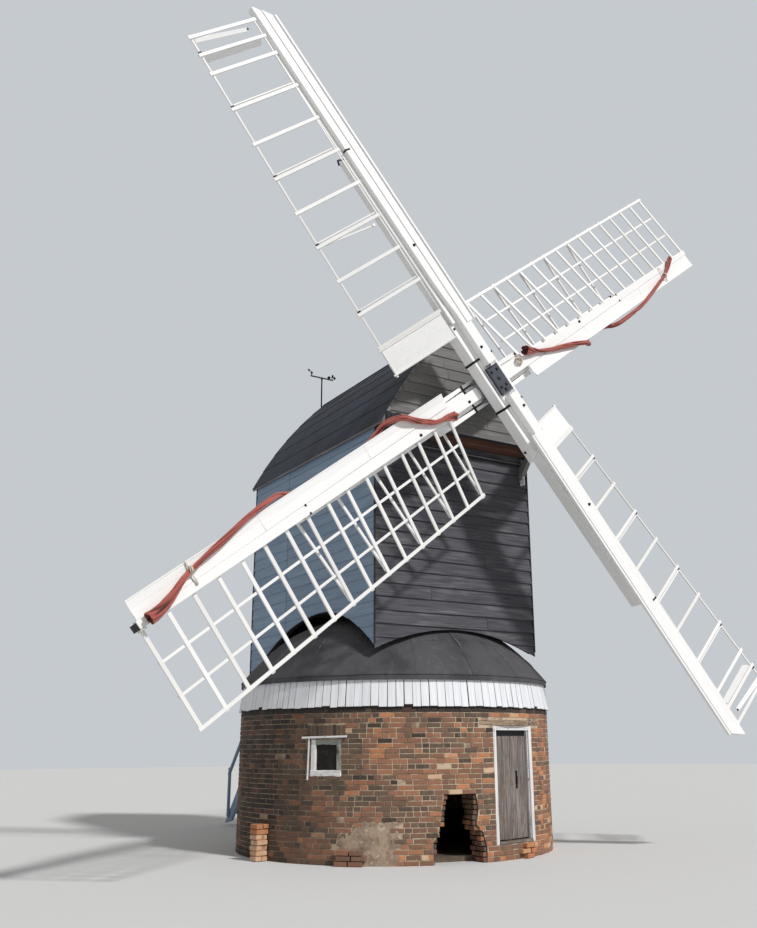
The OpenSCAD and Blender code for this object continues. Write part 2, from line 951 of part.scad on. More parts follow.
module stock() {
  edge = [[-stock_w / 2, clamp_l], [-stock_end / 2, stock_l]];
  side = concat(edge, [for (p = [edge[1], edge[0]]) [-p[0], p[1]]]);
  other = concat([for (p = edge) [-p[0], -p[1]]], [for (p = [edge[1], edge[0]]) [p[0], -p[1]]]);
  translate([0, 0, stock_back]) linear_extrude(stock_d) polygon(concat(side, other));
}

// Cast box at the shaft's head: cheeks beside each stock, and a cover plate over the front one
module poll_end() {
  color(iron)
    difference() {
      union() {
        sail(0) {
          translate([-poll_wide, -poll_half, stock_back - 10])
            cube([2 * poll_wide, 2 * poll_half, stock_d + 10]);
          translate([-lid_half, -poll_half, whip_back])
            cube([2 * lid_half, 2 * poll_half, lid_t]);
        }
        sail(1)
          translate([-poll_wide, -poll_half, poll_rear + stock_gap])
            cube([2 * poll_wide, 2 * poll_half, stock_back - poll_rear]);
        on_shaft()
          translate([0, 0, neck_end]) cylinder(r = neck_r, h = poll_rear - neck_end + poll_wall / 2);
      }
      sail(0) stock();
      sail(1) stock();
    }
}

// A stock with its two clamps, which are notched over the poll end's cheeks
module clamped_stock() {
  stock();
  difference() {
    for (x = [-stock_w / 2 - clamp_t, stock_w / 2])
      translate([x, -clamp_l, stock_back]) cube([clamp_t, 2 * clamp_l, stock_d]);
    translate([-poll_wide, -poll_half, stock_back - 1])
      cube([2 * poll_wide, 2 * poll_half, stock_d + 2]);
  }
}

module stocks() {
  color(white)
    for (k = [0, 1]) sail(k) clamped_stock();
}

// Whips and sail frames

whip_heel = poll_half + 20;

// The whip, or the space it takes with a gap before and beside it
module whip(gap = 0) {
  heel = whip_w / 2 + gap;
  tip = whip_tip / 2 + gap;
  translate([0, 0, whip_back])
    linear_extrude(whip_t + gap)
      polygon([[-heel, whip_heel], [heel, whip_heel], [tip, sail_r], [-tip, sail_r]]);
}

module whips() {
  color(white)
    for (k = [0:3]) sail(k) whip();
}

cloth_from = 1148;
cloth_to = 7408;
spring_from = 1513;
spring_to = 7235;
function cloth_twist(s) = cloth_heel
  + (cloth_tip - cloth_heel) * (s - cloth_from) / (cloth_to - cloth_from);
function spring_twist(s) = spring_heel
  + (spring_tip - spring_heel) * (s - spring_from) / (spring_to - spring_from);
// A point on a sail's plane, w out from the middle and s along, lift in front of the plane
function on_cloth(w, s, lift) = [-w * cos(cloth_twist(s)) - lift * sin(cloth_twist(s)), s,
                                 -w * sin(cloth_twist(s)) + lift * cos(cloth_twist(s))];
function on_spring(w, s, lift) = [-w * cos(spring_twist(s)) - lift * sin(spring_twist(s)), s,
                                  -w * sin(spring_twist(s)) + lift * cos(spring_twist(s))];

// A bar across a sail, turned by the sail's twist
module rung(s, twist, reach, w) {
  translate([0, s, 0])
    rotate([0, -twist, 0])
      translate([-reach, -w / 2, -lath_t / 2]) cube([reach, w, lath_t]);
}

long_lap = 6;
long_t = 24;
nub = 45;

module cloth_frame() {
  step = (cloth_to - cloth_from) / (cloth_bars - 1);
  lift = (lath_t + long_t) / 2 - long_lap;
  mid_twist = (cloth_heel + cloth_tip) / 2;
  reach = cloth_w - nub;
  difference() {
    union() {
      for (i = [0:cloth_bars - 1])
        rung(cloth_from + step * i, cloth_twist(cloth_from + step * i), cloth_w, lath_w);
      for (w = [reach / 3 + nub, reach * 2 / 3 + nub / 2, reach])
        beam(on_cloth(w, cloth_from - long_w, lift), on_cloth(w, cloth_to + long_w, lift),
             long_w, long_t, -mid_twist);
    }
    whip();
    clamped_stock();
  }
}

spring_s = [7235, 6920, 6586, 5952, 5318, 4684, 4050, 3416, 2782, 2148, 1514];
double_rungs = [3, 5, 7, 9];
double_gap = 95;

module spring_frame() {
  mid_twist = (spring_heel + spring_tip) / 2;
  difference() {
    union() {
      for (s = spring_s) rung(s, spring_twist(s), spring_w, lath_w);
      for (i = double_rungs)
        rung(spring_s[i] - double_gap, spring_twist(spring_s[i]), spring_w - nub, lath_w);
      for (w = [whip_w + nub, spring_w - nub])
        beam(on_spring(w, spring_from, 0), on_spring(w, spring_to + long_w, 0),
             long_w * 0.8, lath_t + 4, -mid_twist);
    }
    whip();
    clamped_stock();
  }
}

module spring_frame_high() {
  color(white) sail(0) spring_frame();
}

module cloth_frame_low() {
  color(white) sail(1) cloth_frame();
}

module spring_frame_low() {
  color(white) sail(2) spring_frame();
}

module cloth_frame_high() {
  color(white) sail(3) cloth_frame();
}

lead_from = 1100;
heel_from = 985;
heel_to = spring_from - lath_w / 2;
// What is left of the shutters: the rung each one hangs from, its height and its tilt
shutters = [[0, 80, 20], [1, 200, 60]];
shutter_t = 12;

// A leading board twisted with its sail, drawn at the leading side of the whip
module leading(reach, s0, s1, twist0, twist1) {
  difference() {
    hull() {
      translate([0, s0, 0]) rotate([0, -twist0, 0])
        translate([0, 0, -board_t / 2]) cube([reach, 1, board_t]);
      translate([0, s1, 0]) rotate([0, -twist1, 0])
        translate([0, 0, -board_t / 2]) cube([reach, 1, board_t]);
    }
    whip();
  }
}

// A flat board beside a rung of a spring sail, clear of the clamps
module filling(s0, s1, reach, twist) {
  near = stock_w / 2 + clamp_t + board_t + 2 * run_gap;
  translate([0, s0, 0]) rotate([0, -twist, 0])
    translate([-reach, 0, -board_t / 2]) cube([reach - near / cos(twist), s1 - s0, board_t]);
}

// A shutter hung from the lower side of a rung, between the sail's two long laths
module shutter(i, high, tilt_back) {
  s = spring_s[i] - lath_w / 2;
  reach = spring_w - 2 * nub;
  translate([0, s, 0]) rotate([0, -spring_twist(s), 0])
    translate([-reach, 0, 0]) rotate([tilt_back, 0, 0])
      translate([0, -high, 0]) cube([reach - whip_w - 2 * nub, high, shutter_t]);
}

module sail_boards() {
  color(white) {
    for (k = [0, 2])
      sail(k) {
        leading(lead_narrow, lead_from, sail_r - lath_w, spring_heel, spring_tip);
        filling(heel_from, heel_to, spring_w, spring_twist((heel_from + heel_to) / 2));
        for (p = shutters) shutter(p[0], p[1], p[2]);
      }
    for (k = [1, 3])
      sail(k) leading(lead_w, lead_from, cloth_to, cloth_heel, cloth_tip);
  }
}

// Furled cloths, wound round the leading side of the cloth sails

cloth_r = 62;
cloth_thin = 34;
over = 440;
behind = -145;
before = 190;
// The roll's radius in its length i of n
function roll_r(i, n) = cloth_r + (cloth_thin - cloth_r) * i / n;
// Height of the roll's middle where it lies on the whip
function seat_z(i, n) = whip_front + roll_r(i, n) + run_gap;
low_n = 13;
low_path = [[-90, 1130, seat_z(0, low_n)], [0, 1550, seat_z(0, low_n)], [170, 1860, 128],
            [over - 70, 2200, before], [over, 2360, 20], [over - 90, 2550, behind],
            [over - 110, 3600, behind], [over - 90, 4500, behind], [over, 4680, 20],
            [over - 30, 4900, 140], [370, 5400, 132], [220, 6490, 92],
            [0, 7000, seat_z(low_n - 2, low_n) + 3], [10, 7340, seat_z(low_n - 1, low_n)]];
high_n = 11;
high_path = [[-130, 1200, seat_z(0, high_n)], [30, 1620, seat_z(0, high_n)], [200, 2200, 132],
             [over - 70, 2720, before], [over, 2860, 20], [over - 90, 3020, behind],
             [over - 90, 3750, behind], [over, 3950, 20], [over - 30, 4500, 145],
             [380, 5200, 130], [200, 6100, 92], [-40, 6620, seat_z(high_n - 1, high_n)]];

// A roll through the points of a path, thinner from length to length
module roll(path) {
  n = len(path) - 1;
  for (i = [0:n - 1]) {
    d = path[i + 1] - path[i];
    r = roll_r(i, n);
    translate(path[i])
      rotate([0, acos(d[2] / norm(d)), atan2(d[1], d[0])])
        translate([0, 0, -r / 2]) cylinder(r = r, h = norm(d) + r, $fn = 8);
  }
}

module furled_cloth(path) {
  difference() {
    roll(path);
    whip(run_gap);
  }
}

module furled_cloths() {
  color(canvas) {
    sail(1) furled_cloth(low_path);
    sail(3) furled_cloth(high_path);
  }
}

wall_window();
wall_broken();
wall_over_door();
wall_right();
wall_back_right();
wall_back_left();
wall_stub();
round_floor();
door_frame();
door_lintel();
door_leaf();
window_frame();
window_glass();
fascia();
round_roof();
brick_piers();
trestle();
main_post();
crown_tree();
body_floor();
breast();
left_side();
right_side();
tail_wall();
tail_door();
head_gable();
head_cheeks();
weather_beam();
tail_beam();
roof_left();
roof_right();
ladder_strings();
ladder_treads();
handrails();
wind_mast();
windshaft();
poll_end();
stocks();
whips();
spring_frame_high();
spring_frame_low();
cloth_frame_high();
cloth_frame_low();
sail_boards();
furled_cloths();
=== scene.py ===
import bpy, bmesh, math, random
from mathutils import Matrix, Vector, noise


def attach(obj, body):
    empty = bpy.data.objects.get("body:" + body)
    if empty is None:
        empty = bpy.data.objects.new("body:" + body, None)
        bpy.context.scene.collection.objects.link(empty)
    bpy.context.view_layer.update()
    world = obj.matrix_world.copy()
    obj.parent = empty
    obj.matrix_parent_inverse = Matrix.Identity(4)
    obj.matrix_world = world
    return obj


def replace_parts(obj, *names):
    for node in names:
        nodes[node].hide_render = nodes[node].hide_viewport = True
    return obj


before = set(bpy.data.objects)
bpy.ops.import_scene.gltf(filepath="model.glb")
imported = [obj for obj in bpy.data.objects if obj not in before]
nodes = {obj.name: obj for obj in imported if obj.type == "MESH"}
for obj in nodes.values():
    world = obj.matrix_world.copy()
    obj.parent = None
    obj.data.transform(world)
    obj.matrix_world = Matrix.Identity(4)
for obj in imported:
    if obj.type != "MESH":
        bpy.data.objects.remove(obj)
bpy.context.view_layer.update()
dice = random.Random(11)
print("frame loaded,", len(nodes), "nodes")

# Camera and light

photo = {"width": 757, "height": 928, "focal": 942.9, "centreX": 401.27, "centreY": 458.91}
view = {"place": (-9.442, -15.138, 1.729), "yaw": 32.489, "pitch": 16.846, "roll": -0.428, "sensor": 36.0, "far": 200}
studio = {
    "sky": 0.38, "skyTint": (1, 0.985, 0.96), "sun": 2.65, "sunTint": (1, 0.98, 0.955), "sunSize": 5,
    "sunHeight": 43, "sunSide": 12, "floor": (0.66, 0.67, 0.68), "floorRadius": 70, "floorRough": 0.9,
    "backdrop": (0.56, 0.59, 0.62),
}


def linked(name, data):
    made = bpy.data.objects.new(name, data)
    bpy.context.scene.collection.objects.link(made)
    return made


def addCamera():
    data = bpy.data.cameras.new("camera")
    camera = linked("camera", data)
    yaw, pitch, roll = (math.radians(view[k]) for k in ("yaw", "pitch", "roll"))
    forward = Vector((math.sin(yaw) * math.cos(pitch), math.cos(yaw) * math.cos(pitch), math.sin(pitch)))
    level = Vector((math.cos(yaw), -math.sin(yaw), 0))
    up = level.cross(forward)
    right = level * math.cos(roll) + up * math.sin(roll)
    up = up * math.cos(roll) - level * math.sin(roll)
    turn = Matrix((right, up, -forward)).transposed()
    camera.matrix_world = Matrix.Translation(view["place"]) @ turn.to_4x4()
    data.sensor_fit = "VERTICAL"
    data.sensor_height = view["sensor"]
    data.lens = photo["focal"] * view["sensor"] / photo["height"]
    data.shift_x = -(photo["centreX"] - photo["width"] / 2) / photo["height"]
    data.shift_y = (photo["centreY"] - photo["height"] / 2) / photo["height"]
    data.clip_end = view["far"]
    bpy.context.scene.camera = camera


def addStudio():
    deselectAll()
    bpy.ops.mesh.primitive_circle_add(vertices=96, radius=studio["floorRadius"], fill_type="NGON", location=(0, 0, 0))
    floor = bpy.context.object
    floor.name = "studio_floor"
    paint = Paint("studio_floor", studio["floorRough"])
    paint.shader.inputs["Base Color"].default_value = (*studio["floor"], 1)
    floor.data.materials.append(paint.material)
    world = bpy.data.worlds.new("studio")
    bpy.context.scene.world = world
    world.use_nodes = True
    sky = world.node_tree
    light = sky.nodes["Background"]
    light.inputs["Color"].default_value = (*studio["skyTint"], 1)
    light.inputs["Strength"].default_value = studio["sky"]
    backdrop = sky.nodes.new("ShaderNodeBackground")  # what the camera sees behind the mill
    backdrop.inputs["Color"].default_value = (*studio["backdrop"], 1)
    path = sky.nodes.new("ShaderNodeLightPath")
    both = sky.nodes.new("ShaderNodeMixShader")
    sources = (path.outputs["Is Camera Ray"], light.outputs[0], backdrop.outputs[0])
    for source, socket in zip(sources, both.inputs):
        sky.links.new(source, socket)
    sky.links.new(both.outputs[0], sky.nodes["World Output"].inputs["Surface"])
    lamp = bpy.data.lights.new("key", "SUN")
    lamp.energy = studio["sun"]
    lamp.color = studio["sunTint"]
    lamp.angle = math.radians(studio["sunSize"])
    linked("key", lamp).rotation_euler = (math.radians(90 - studio["sunHeight"]), 0, math.radians(studio["sunSide"]))


# Shader maths as plain expressions


class Wire:
    def __init__(self, paint, socket):
        self.paint = paint
        self.socket = socket

    def join(self, kind, a, b):
        return self.paint.node("Math", {"operation": kind}, {0: a, 1: b})

    def __add__(self, other):
        return self.join("ADD", self, other)

    def __sub__(self, other):
        return self.join("SUBTRACT", self, other)

    def __rsub__(self, other):
        return self.join("SUBTRACT", other, self)

    def __mul__(self, other):
        return self.join("MULTIPLY", self, other)

    def __pow__(self, other):
        return self.join("POWER", self, other)

    def __gt__(self, other):
        return self.join("GREATER_THAN", self, other)

    __radd__ = __add__
    __rmul__ = __mul__


class Paint:
    def __init__(self, name, rough=0.8):
        self.material = bpy.data.materials.new(name)
        self.material.use_nodes = True
        self.tree = self.material.node_tree
        self.shader = self.tree.nodes["Principled BSDF"]
        self.shader.inputs["Roughness"].default_value = rough

    def node(self, kind, settings, sockets, out=0):
        made = self.tree.nodes.new("ShaderNode" + kind)
        for key, value in settings.items():
            if key == "stops":
                stops = made.color_ramp.elements
                stops.remove(stops[1])
                for i, (place, colour) in enumerate(value):
                    stop = stops.new(place) if i else stops[0]
                    stop.position = place
                    stop.color = (*colour, 1)
            else:
                setattr(made, key, value)
        for key, value in sockets.items():
            if isinstance(value, Wire):
                self.tree.links.new(value.socket, made.inputs[key])
            elif made.inputs[key].type == "RGBA":
                made.inputs[key].default_value = (*value, 1)
            else:
                made.inputs[key].default_value = value
        return Wire(self, made.outputs[out])

    def space(self, scale=(1, 1, 1), source=None):
        # object coordinates, or a stored attribute
        if source:
            place = self.node("Attribute", {"attribute_name": source}, {}, 1)
        else:
            place = self.node("TexCoord", {}, {}, 3)
        return self.node("Mapping", {}, {"Vector": place, "Scale": scale})

    def value(self, name):
        return self.node("Attribute", {"attribute_name": name}, {}, 2)

    def clouds(self, place, scale, detail=4, rough=0.55):
        return self.node("TexNoise", {}, {"Vector": place, "Scale": scale, "Detail": detail, "Roughness": rough})

    def bands(self, place, way, scale, bend, out):
        settings = {"wave_type": "BANDS", "bands_direction": way}
        return self.node("TexWave", settings, {"Vector": place, "Scale": scale, "Distortion": bend}, out)

    def ease(self, wire, low, high, to=1.0):
        return self.node("MapRange", {"interpolation_type": "SMOOTHSTEP"}, {0: wire, 1: low, 2: high, 3: 0.0, 4: to})

    def mix(self, share, a, b):
        # colours are given as red, green and blue up to 255, or come from a wire
        a, b = (c if isinstance(c, Wire) else srgb(*c) for c in (a, b))
        return self.node("Mix", {"data_type": "RGBA"}, {0: share, 6: a, 7: b}, 2)

    def ramp(self, wire, stops):
        return self.node("ValToRGB", {"stops": [(place, srgb(*colour)) for place, colour in stops]}, {0: wire})

    def coat(self, colour, rough=None, height=None, depth=0.004, strength=0.6):
        links = {"Base Color": colour, "Roughness": rough}
        if height:
            links["Normal"] = self.node("Bump", {}, {"Strength": strength, "Distance": depth, "Height": height})
        for socket, wire in links.items():
            if wire:
                self.tree.links.new(wire.socket, self.shader.inputs[socket])
        return self.material


def srgb(red, green, blue):
    return tuple((c / 255 / 12.92) if c < 10.3 else ((c / 255 + 0.055) / 1.055) ** 2.4 for c in (red, green, blue))


# Modelling


def deselectAll():
    if bpy.context.mode != "OBJECT":
        bpy.ops.object.mode_set(mode="OBJECT")
    bpy.ops.object.select_all(action="DESELECT")


def selectOnly(made):
    deselectAll()
    made.select_set(True)
    bpy.context.view_layer.objects.active = made


def editAll(made=None):
    # edit mode with all selected
    if made:
        selectOnly(made)
    bpy.ops.object.mode_set(mode="EDIT")
    bpy.ops.mesh.select_all(action="SELECT")


def cube(centre, size=(1, 1, 1)):
    # a box to model from, in edit mode
    deselectAll()
    bpy.ops.mesh.primitive_cube_add(size=1, scale=size, location=centre)
    bpy.ops.object.transform_apply(location=True, scale=True)
    editAll()
    return bpy.context.object


def cylinder(sides, radius, length, middle):
    # a round bar along the Z axis to model from, in edit mode
    deselectAll()
    bpy.ops.mesh.primitive_cylinder_add(vertices=sides, radius=radius, depth=length, location=(0, 0, middle))
    bpy.ops.object.transform_apply(location=True)
    bpy.ops.object.mode_set(mode="EDIT")
    return bpy.context.object


def shapedGrid(columns, rows, shape):
    # a grid whose points go where shape(u, w) says, u and w from 0 to 1
    deselectAll()
    bpy.ops.mesh.primitive_grid_add(x_subdivisions=columns, y_subdivisions=rows, size=1)
    made = bpy.context.object
    for v in made.data.vertices:
        v.co = shape(v.co.x + 0.5, v.co.y + 0.5)
    return made


def pick(made, test, kind="faces"):
    # selects what passes the test, in edit mode
    bpy.ops.mesh.select_all(action="DESELECT")
    mesh = bmesh.from_edit_mesh(made.data)
    for part in getattr(mesh, kind):
        if test(part):
            part.select_set(True)
    mesh.select_flush(True)
    bmesh.update_edit_mesh(made.data)


def shift(x, y, z):
    bpy.ops.transform.translate(value=(x, y, z))


def extrude(depth):
    bpy.ops.mesh.extrude_region_move(TRANSFORM_OT_translate={"value": (0, 0, depth)})


def faceOutwards(made):
    editAll(made)
    bpy.ops.mesh.normals_make_consistent(inside=False)
    bpy.ops.object.mode_set(mode="OBJECT")


def takeMesh(made):
    # keeps a modelled mesh as a pattern for copies
    deselectAll()
    mesh = made.data
    bpy.data.objects.remove(made)
    return mesh


patterns = {}


def modelledOnce(make):
    # a pattern is modelled once for its sizes, then copied
    def recall(*sizes, **more):
        key = (make.__name__, *(round(x, 4) for x in sizes), *sorted(more.items()))
        if key not in patterns:
            patterns[key] = make(*sizes, **more)
        return patterns[key]
    return recall


@modelledOnce
def timber(length, width, depth, bevel=0.004, end=None, cuts=0):
    # squared timber along +X from the origin, with softened edges; end is the far end's width and depth
    made = cube((0.5, 0, 0))
    bpy.ops.transform.resize(value=(length, width, depth), center_override=(0, 0, 0))
    if end:
        pick(made, lambda f: f.normal.x > 0.9)
        bpy.ops.transform.resize(value=(1, end[0] / width, end[1] / depth), center_override=(length, 0, 0))
    bpy.ops.mesh.select_all(action="SELECT")
    if bevel:
        bpy.ops.mesh.bevel(offset=bevel, segments=1, affect="EDGES")
    if cuts:
        pick(made, lambda e: abs((e.verts[0].co - e.verts[1].co).x) > length / 2, "edges")
        bpy.ops.mesh.subdivide(number_cuts=cuts)
    return takeMesh(made)


def at(x, y, z):
    return Matrix.Translation((x, y, z))


def turned(axis, degrees):
    return Matrix.Rotation(math.radians(degrees), 4, axis)


stay = Matrix.Identity(4)


def along(x, y, z):
    # lays a timber along +Y
    return at(x, y, z) @ turned("Z", 90)


def standing(rowX, rowY):
    # where the boards of a wall stand, by the first two rows of the matrix
    return Matrix((rowX, rowY, (0, 0, 1, 0), (0, 0, 0, 1)))


def ripple(x, y, z):
    return noise.noise(Vector((x, y, z)))


def around(az, radius, z):
    # a point at an azimuth, in radians, round the house
    return (radius * math.sin(az), -radius * math.cos(az), z)


def span(p, q, roll=0):
    # places a timber from p towards q
    p, q = Vector(p), Vector(q)
    way = q - p
    rise = -math.atan2(way.z, math.hypot(way.x, way.y))
    turn = Matrix.Rotation(math.atan2(way.y, way.x), 4, "Z") @ Matrix.Rotation(rise, 4, "Y")
    return Matrix.Translation(p) @ turn @ Matrix.Rotation(math.radians(roll), 4, "X")


def beam(p, q, width, depth, roll=0, tone=None, **more):
    length = (Vector(q) - Vector(p)).length
    return (timber(length, width, depth, **more), span(p, q, roll), tone)


def upright(x, y, z):
    # stands a timber up: its length goes up, its width across and its depth inwards
    return at(x, y, z) @ turned("Y", -90) @ turned("X", 90)


def placed(place, parts):
    return [(m, place @ p, t) for m, p, t in parts]


def longWay(mesh):
    # the axes of a mesh, its longest first: the grain runs along that one
    sizes = [max(v.co[i] for v in mesh.vertices) - min(v.co[i] for v in mesh.vertices) for i in range(3)]
    first = sizes.index(max(sizes))
    return first, (first + 1) % 3, (first + 2) % 3


def newPiece(name, points, loops, grain, **values):
    # a mesh with the attributes that its finish reads
    mesh = bpy.data.meshes.new(name)
    mesh.from_pydata(points, [], loops)
    mesh.attributes.new("grain", "FLOAT_VECTOR", "POINT").data.foreach_set("vector", grain)
    for key, numbers in values.items():
        mesh.attributes.new(key, "FLOAT", "POINT").data.foreach_set("value", numbers)
    return linked(name, mesh)


def joinCopies(name, copies, coat, body, replaced=(), smooth=None):
    # joins copies of modelled meshes into one piece; each copy keeps its own grain direction and tone
    points, loops, grain, tone, wear = [], [], [], [], []
    for mesh, place, shade in copies:
        base = len(points)
        order = longWay(mesh)
        shade = dice.random() if shade is None else shade
        worn = dice.random()
        slide = Vector((dice.random() * 40, dice.random() * 7, dice.random() * 7))
        flip = place.determinant() < 0
        for v in mesh.vertices:
            points.append(place @ v.co)
            grain.extend(v.co[i] + slide[i] for i in order)
        tone.extend([shade] * len(mesh.vertices))
        wear.extend([worn] * len(mesh.vertices))
        for p in mesh.polygons:
            loop = [base + i for i in p.vertices]
            loops.append(loop[::-1] if flip else loop)
    made = newPiece(name, points, loops, grain, tone=tone, wear=wear)
    if smooth:
        selectOnly(made)
        bpy.ops.object.shade_smooth_by_angle(angle=math.radians(smooth))
    return settle(made, coat, body, replaced)


def settle(made, coat, body, replaced=()):
    # coat: the name of a finish, or a finish paired with a slot name; the slot is not used
    material, slot = (finish(coat), slots[coat]) if isinstance(coat, str) else coat
    made.data.materials.clear()
    made.data.materials.append(material)
    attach(made, body)
    if replaced:
        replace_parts(made, *replaced)
    return made


def solidify(made, thickness):
    # gives a sheet of faces a thickness, inwards
    selectOnly(made)
    made.modifiers.new("thickness", "SOLIDIFY").thickness = thickness
    made.modifiers["thickness"].offset = -1.0
    bpy.ops.object.modifier_apply(modifier="thickness")

# Finishes, by name. Colours are red, green and blue up to 255

woodKeys = ("base", "dark", "pale", "under", "streaks", "peel", "rough", "bump")
woods = {
    "sailWhite": ((244, 245, 246), (204, 202, 194), (250, 250, 251), (168, 162, 150), 0.16, 0.74, 0.5, 0.2),
    "fasciaWhite": ((236, 238, 243), (176, 182, 192), (247, 248, 252), (120, 118, 112), 0.35, 0.70, 0.6, 0.3),
    "frameWhite": ((232, 232, 234), (150, 146, 142), (246, 246, 250), (112, 106, 98), 0.45, 0.60, 0.65, 0.45),
    "tarBoards": ((80, 81, 88), (38, 39, 47), (120, 120, 124), (96, 94, 92), 0.75, 0.62, 0.75, 0.6),
    "blackBoards": ((34, 36, 42), (18, 20, 25), (60, 62, 68), (70, 68, 66), 0.6, 0.72, 0.75, 0.5),
    # blueGrey: pale boards coloured as they look in shade under a blue sky: painted shade
    "blueGrey": ((140, 163, 187), (94, 112, 134), (158, 174, 192), (84, 98, 116), 0.35, 0.68, 0.7, 0.35),
    "gableGrey": ((120, 119, 118), (80, 80, 82), (150, 148, 144), (70, 66, 63), 0.4, 0.64, 0.75, 0.4),
    "oldOak": ((104, 84, 66), (58, 45, 36), (140, 120, 98), (78, 62, 50), 0.9, 0.55, 0.85, 0.8),
    "brownBeam": ((92, 56, 40), (50, 30, 24), (118, 80, 60), (60, 42, 34), 0.7, 0.6, 0.8, 0.6),
    "silverPlank": ((142, 134, 130), (82, 74, 71), (188, 180, 175), (110, 98, 88), 1.0, 0.52, 0.85, 1.0),
    "windowGreen": ((160, 166, 156), (100, 106, 98), (214, 216, 212), (80, 76, 70), 0.6, 0.58, 0.75, 0.6),
    "paleLintel": ((158, 136, 112), (98, 82, 68), (206, 190, 170), (90, 78, 68), 0.9, 0.54, 0.85, 0.9),
}
felts = {
    "felt_round": {"base": (72, 72, 77), "dark": (48, 49, 55), "pale": (98, 97, 99), "rough": 0.8},
    "felt_body": {"base": (40, 50, 66), "dark": (24, 31, 44), "pale": (70, 82, 100), "rough": 0.72},
}
irons = {
    "black_iron": {"base": (30, 31, 34), "rust": (74, 56, 46), "amount": 0.02, "metal": 0.6, "rough": 0.5},
    "grey_iron": {"base": (128, 132, 138), "rust": (110, 98, 88), "amount": 0.03, "metal": 0.3, "rough": 0.6},
    "plate_iron": {"base": (72, 76, 88), "rust": (112, 104, 98), "amount": 0.05, "metal": 0.4, "rough": 0.6},
}
slots = {
    "sailWhite": "white_paint", "fasciaWhite": "white_paint", "frameWhite": "white_paint",
    "tarBoards": "black_boards", "blackBoards": "black_boards", "blueGrey": "blue_grey_boards",
    "gableGrey": "grey_planks", "silverPlank": "grey_planks", "windowGreen": "grey_planks", "oldOak": "old_oak",
    "felt_round": "grey_felt", "felt_body": "black_felt", "mastic": "grey_felt",
    "black_iron": "dark_iron", "grey_iron": "dark_iron", "plate_iron": "dark_iron",
    "brick": "brickwork", "cement": "brickwork", "sail_cloth": "red_canvas", "pale_rope": None,
}
finishes = {}


def finish(name, grainWay=None):
    # a finish is made the first time it is asked for; bare CAD timbers tell which way their grain runs
    key = name + ("_" + "".join(str(g) for g in grainWay) if grainWay else "")
    if key not in finishes:
        if name in woods:
            finishes[key] = woodFinish(key, dict(zip(woodKeys, woods[name])), grainWay)
        elif name in felts:
            finishes[key] = feltFinish(name, felts[name])
        elif name in irons:
            finishes[key] = ironFinish(name, irons[name])
        else:
            make, rough = others[name]
            finishes[key] = make(Paint(name, rough))
    return finishes[key]


def woodFinish(name, look, grainWay):
    # painted or bare boards: fine grain along the timber, blotches, worn spots down to the wood
    paint = Paint(name, look["rough"])
    source = None if grainWay else "grain"
    way = grainWay or (1, 0, 0)
    grain, blotch, fleck = (
        paint.clouds(paint.space(tuple(long if w else across for w in way), source), *clouds)
        for long, across, *clouds in ((1.3, 34.0, 1.0, 5, 0.6), (0.7, 5.0, 1.6, 4), (3.0, 16.0, 1.7, 6, 0.7)))
    colour = paint.mix(paint.ease(grain, 0.38, 0.68, look["streaks"]), look["base"], look["dark"])
    colour = paint.mix(paint.ease(blotch, 0.52, 0.74, 0.7), colour, look["pale"])
    mask = fleck * 0.8 + blotch * 0.2
    if source:
        mask = mask + (paint.value("wear") - 0.5) * 0.06
        colour = paint.mix(paint.value("tone") * 0.32, colour, look["dark"])
    worn = paint.ease(mask, look["peel"] - 0.02, look["peel"] + 0.03)
    rough = worn * 0.2 + grain * 0.15 + (look["rough"] - 0.08)
    height = grain * 0.5 - worn * 0.6 + blotch * 0.3
    return paint.coat(paint.mix(worn, colour, look["under"]), rough, height, 0.003, look["bump"])


def feltFinish(name, look):
    # mineral felt: fine grit, weathered blotches and faint marks where water runs
    paint = Paint(name, look["rough"])
    place = paint.space()
    grit = paint.clouds(place, 190, 3, 0.8)
    patch = paint.clouds(place, 1.4, 5, 0.6)
    run = paint.clouds(paint.space((9, 9, 1.2)), 1.0, 4)
    colour = paint.mix(paint.ease(patch, 0.4, 0.66), look["base"], look["dark"])
    colour = paint.mix(paint.ease(run, 0.52, 0.8, 0.55), colour, look["pale"])
    colour = paint.mix(paint.ease(grit, 0.45, 0.75, 0.45), colour, look["pale"])
    colour = paint.mix(paint.value("tone") * 0.3, colour, look["dark"])
    return paint.coat(colour, grit * 0.15 + look["rough"] - 0.08, grit + patch * 0.6, 0.002, 0.5)


def ironFinish(name, look):
    paint = Paint(name, look["rough"])
    paint.shader.inputs["Metallic"].default_value = look["metal"]
    place = paint.space()
    spot = paint.clouds(place, 22, 6, 0.7)
    fine = paint.clouds(place, 120, 3)
    mask = paint.ease(spot, 0.62 - look["amount"], 0.72 - look["amount"] * 0.5)
    colour = paint.mix(mask, look["base"], look["rust"])
    colour = paint.mix(fine * 0.4, colour, tuple(c * 0.6 for c in look["base"]))
    return paint.coat(colour, mask * 0.3 + fine * 0.1 + look["rough"] - 0.05, spot + fine * 0.4, 0.0015, 0.5)


brickLook = {
    "tones": ((0.0, (60, 49, 44)), (0.16, (86, 72, 62)), (0.32, (108, 90, 75)), (0.46, (124, 94, 76)),
              (0.6, (140, 99, 79)), (0.74, (160, 112, 86)), (0.87, (190, 126, 84)), (1.0, (206, 178, 150))),
    "speck": (70, 52, 46), "soot": (46, 41, 38), "bloom": (190, 174, 146),
}
wallLook = {
    "bricks": ((140, 92, 72), (96, 70, 58), (170, 158, 136)), "innerDirt": (74, 58, 50),
    "mortar": (204, 186, 160), "oldMortar": (124, 108, 90), "grit": (146, 130, 110),
    "shaded": (84, 70, 60), "paintedEaveShadow": (52, 46, 42), "skin": 2.7425,
}


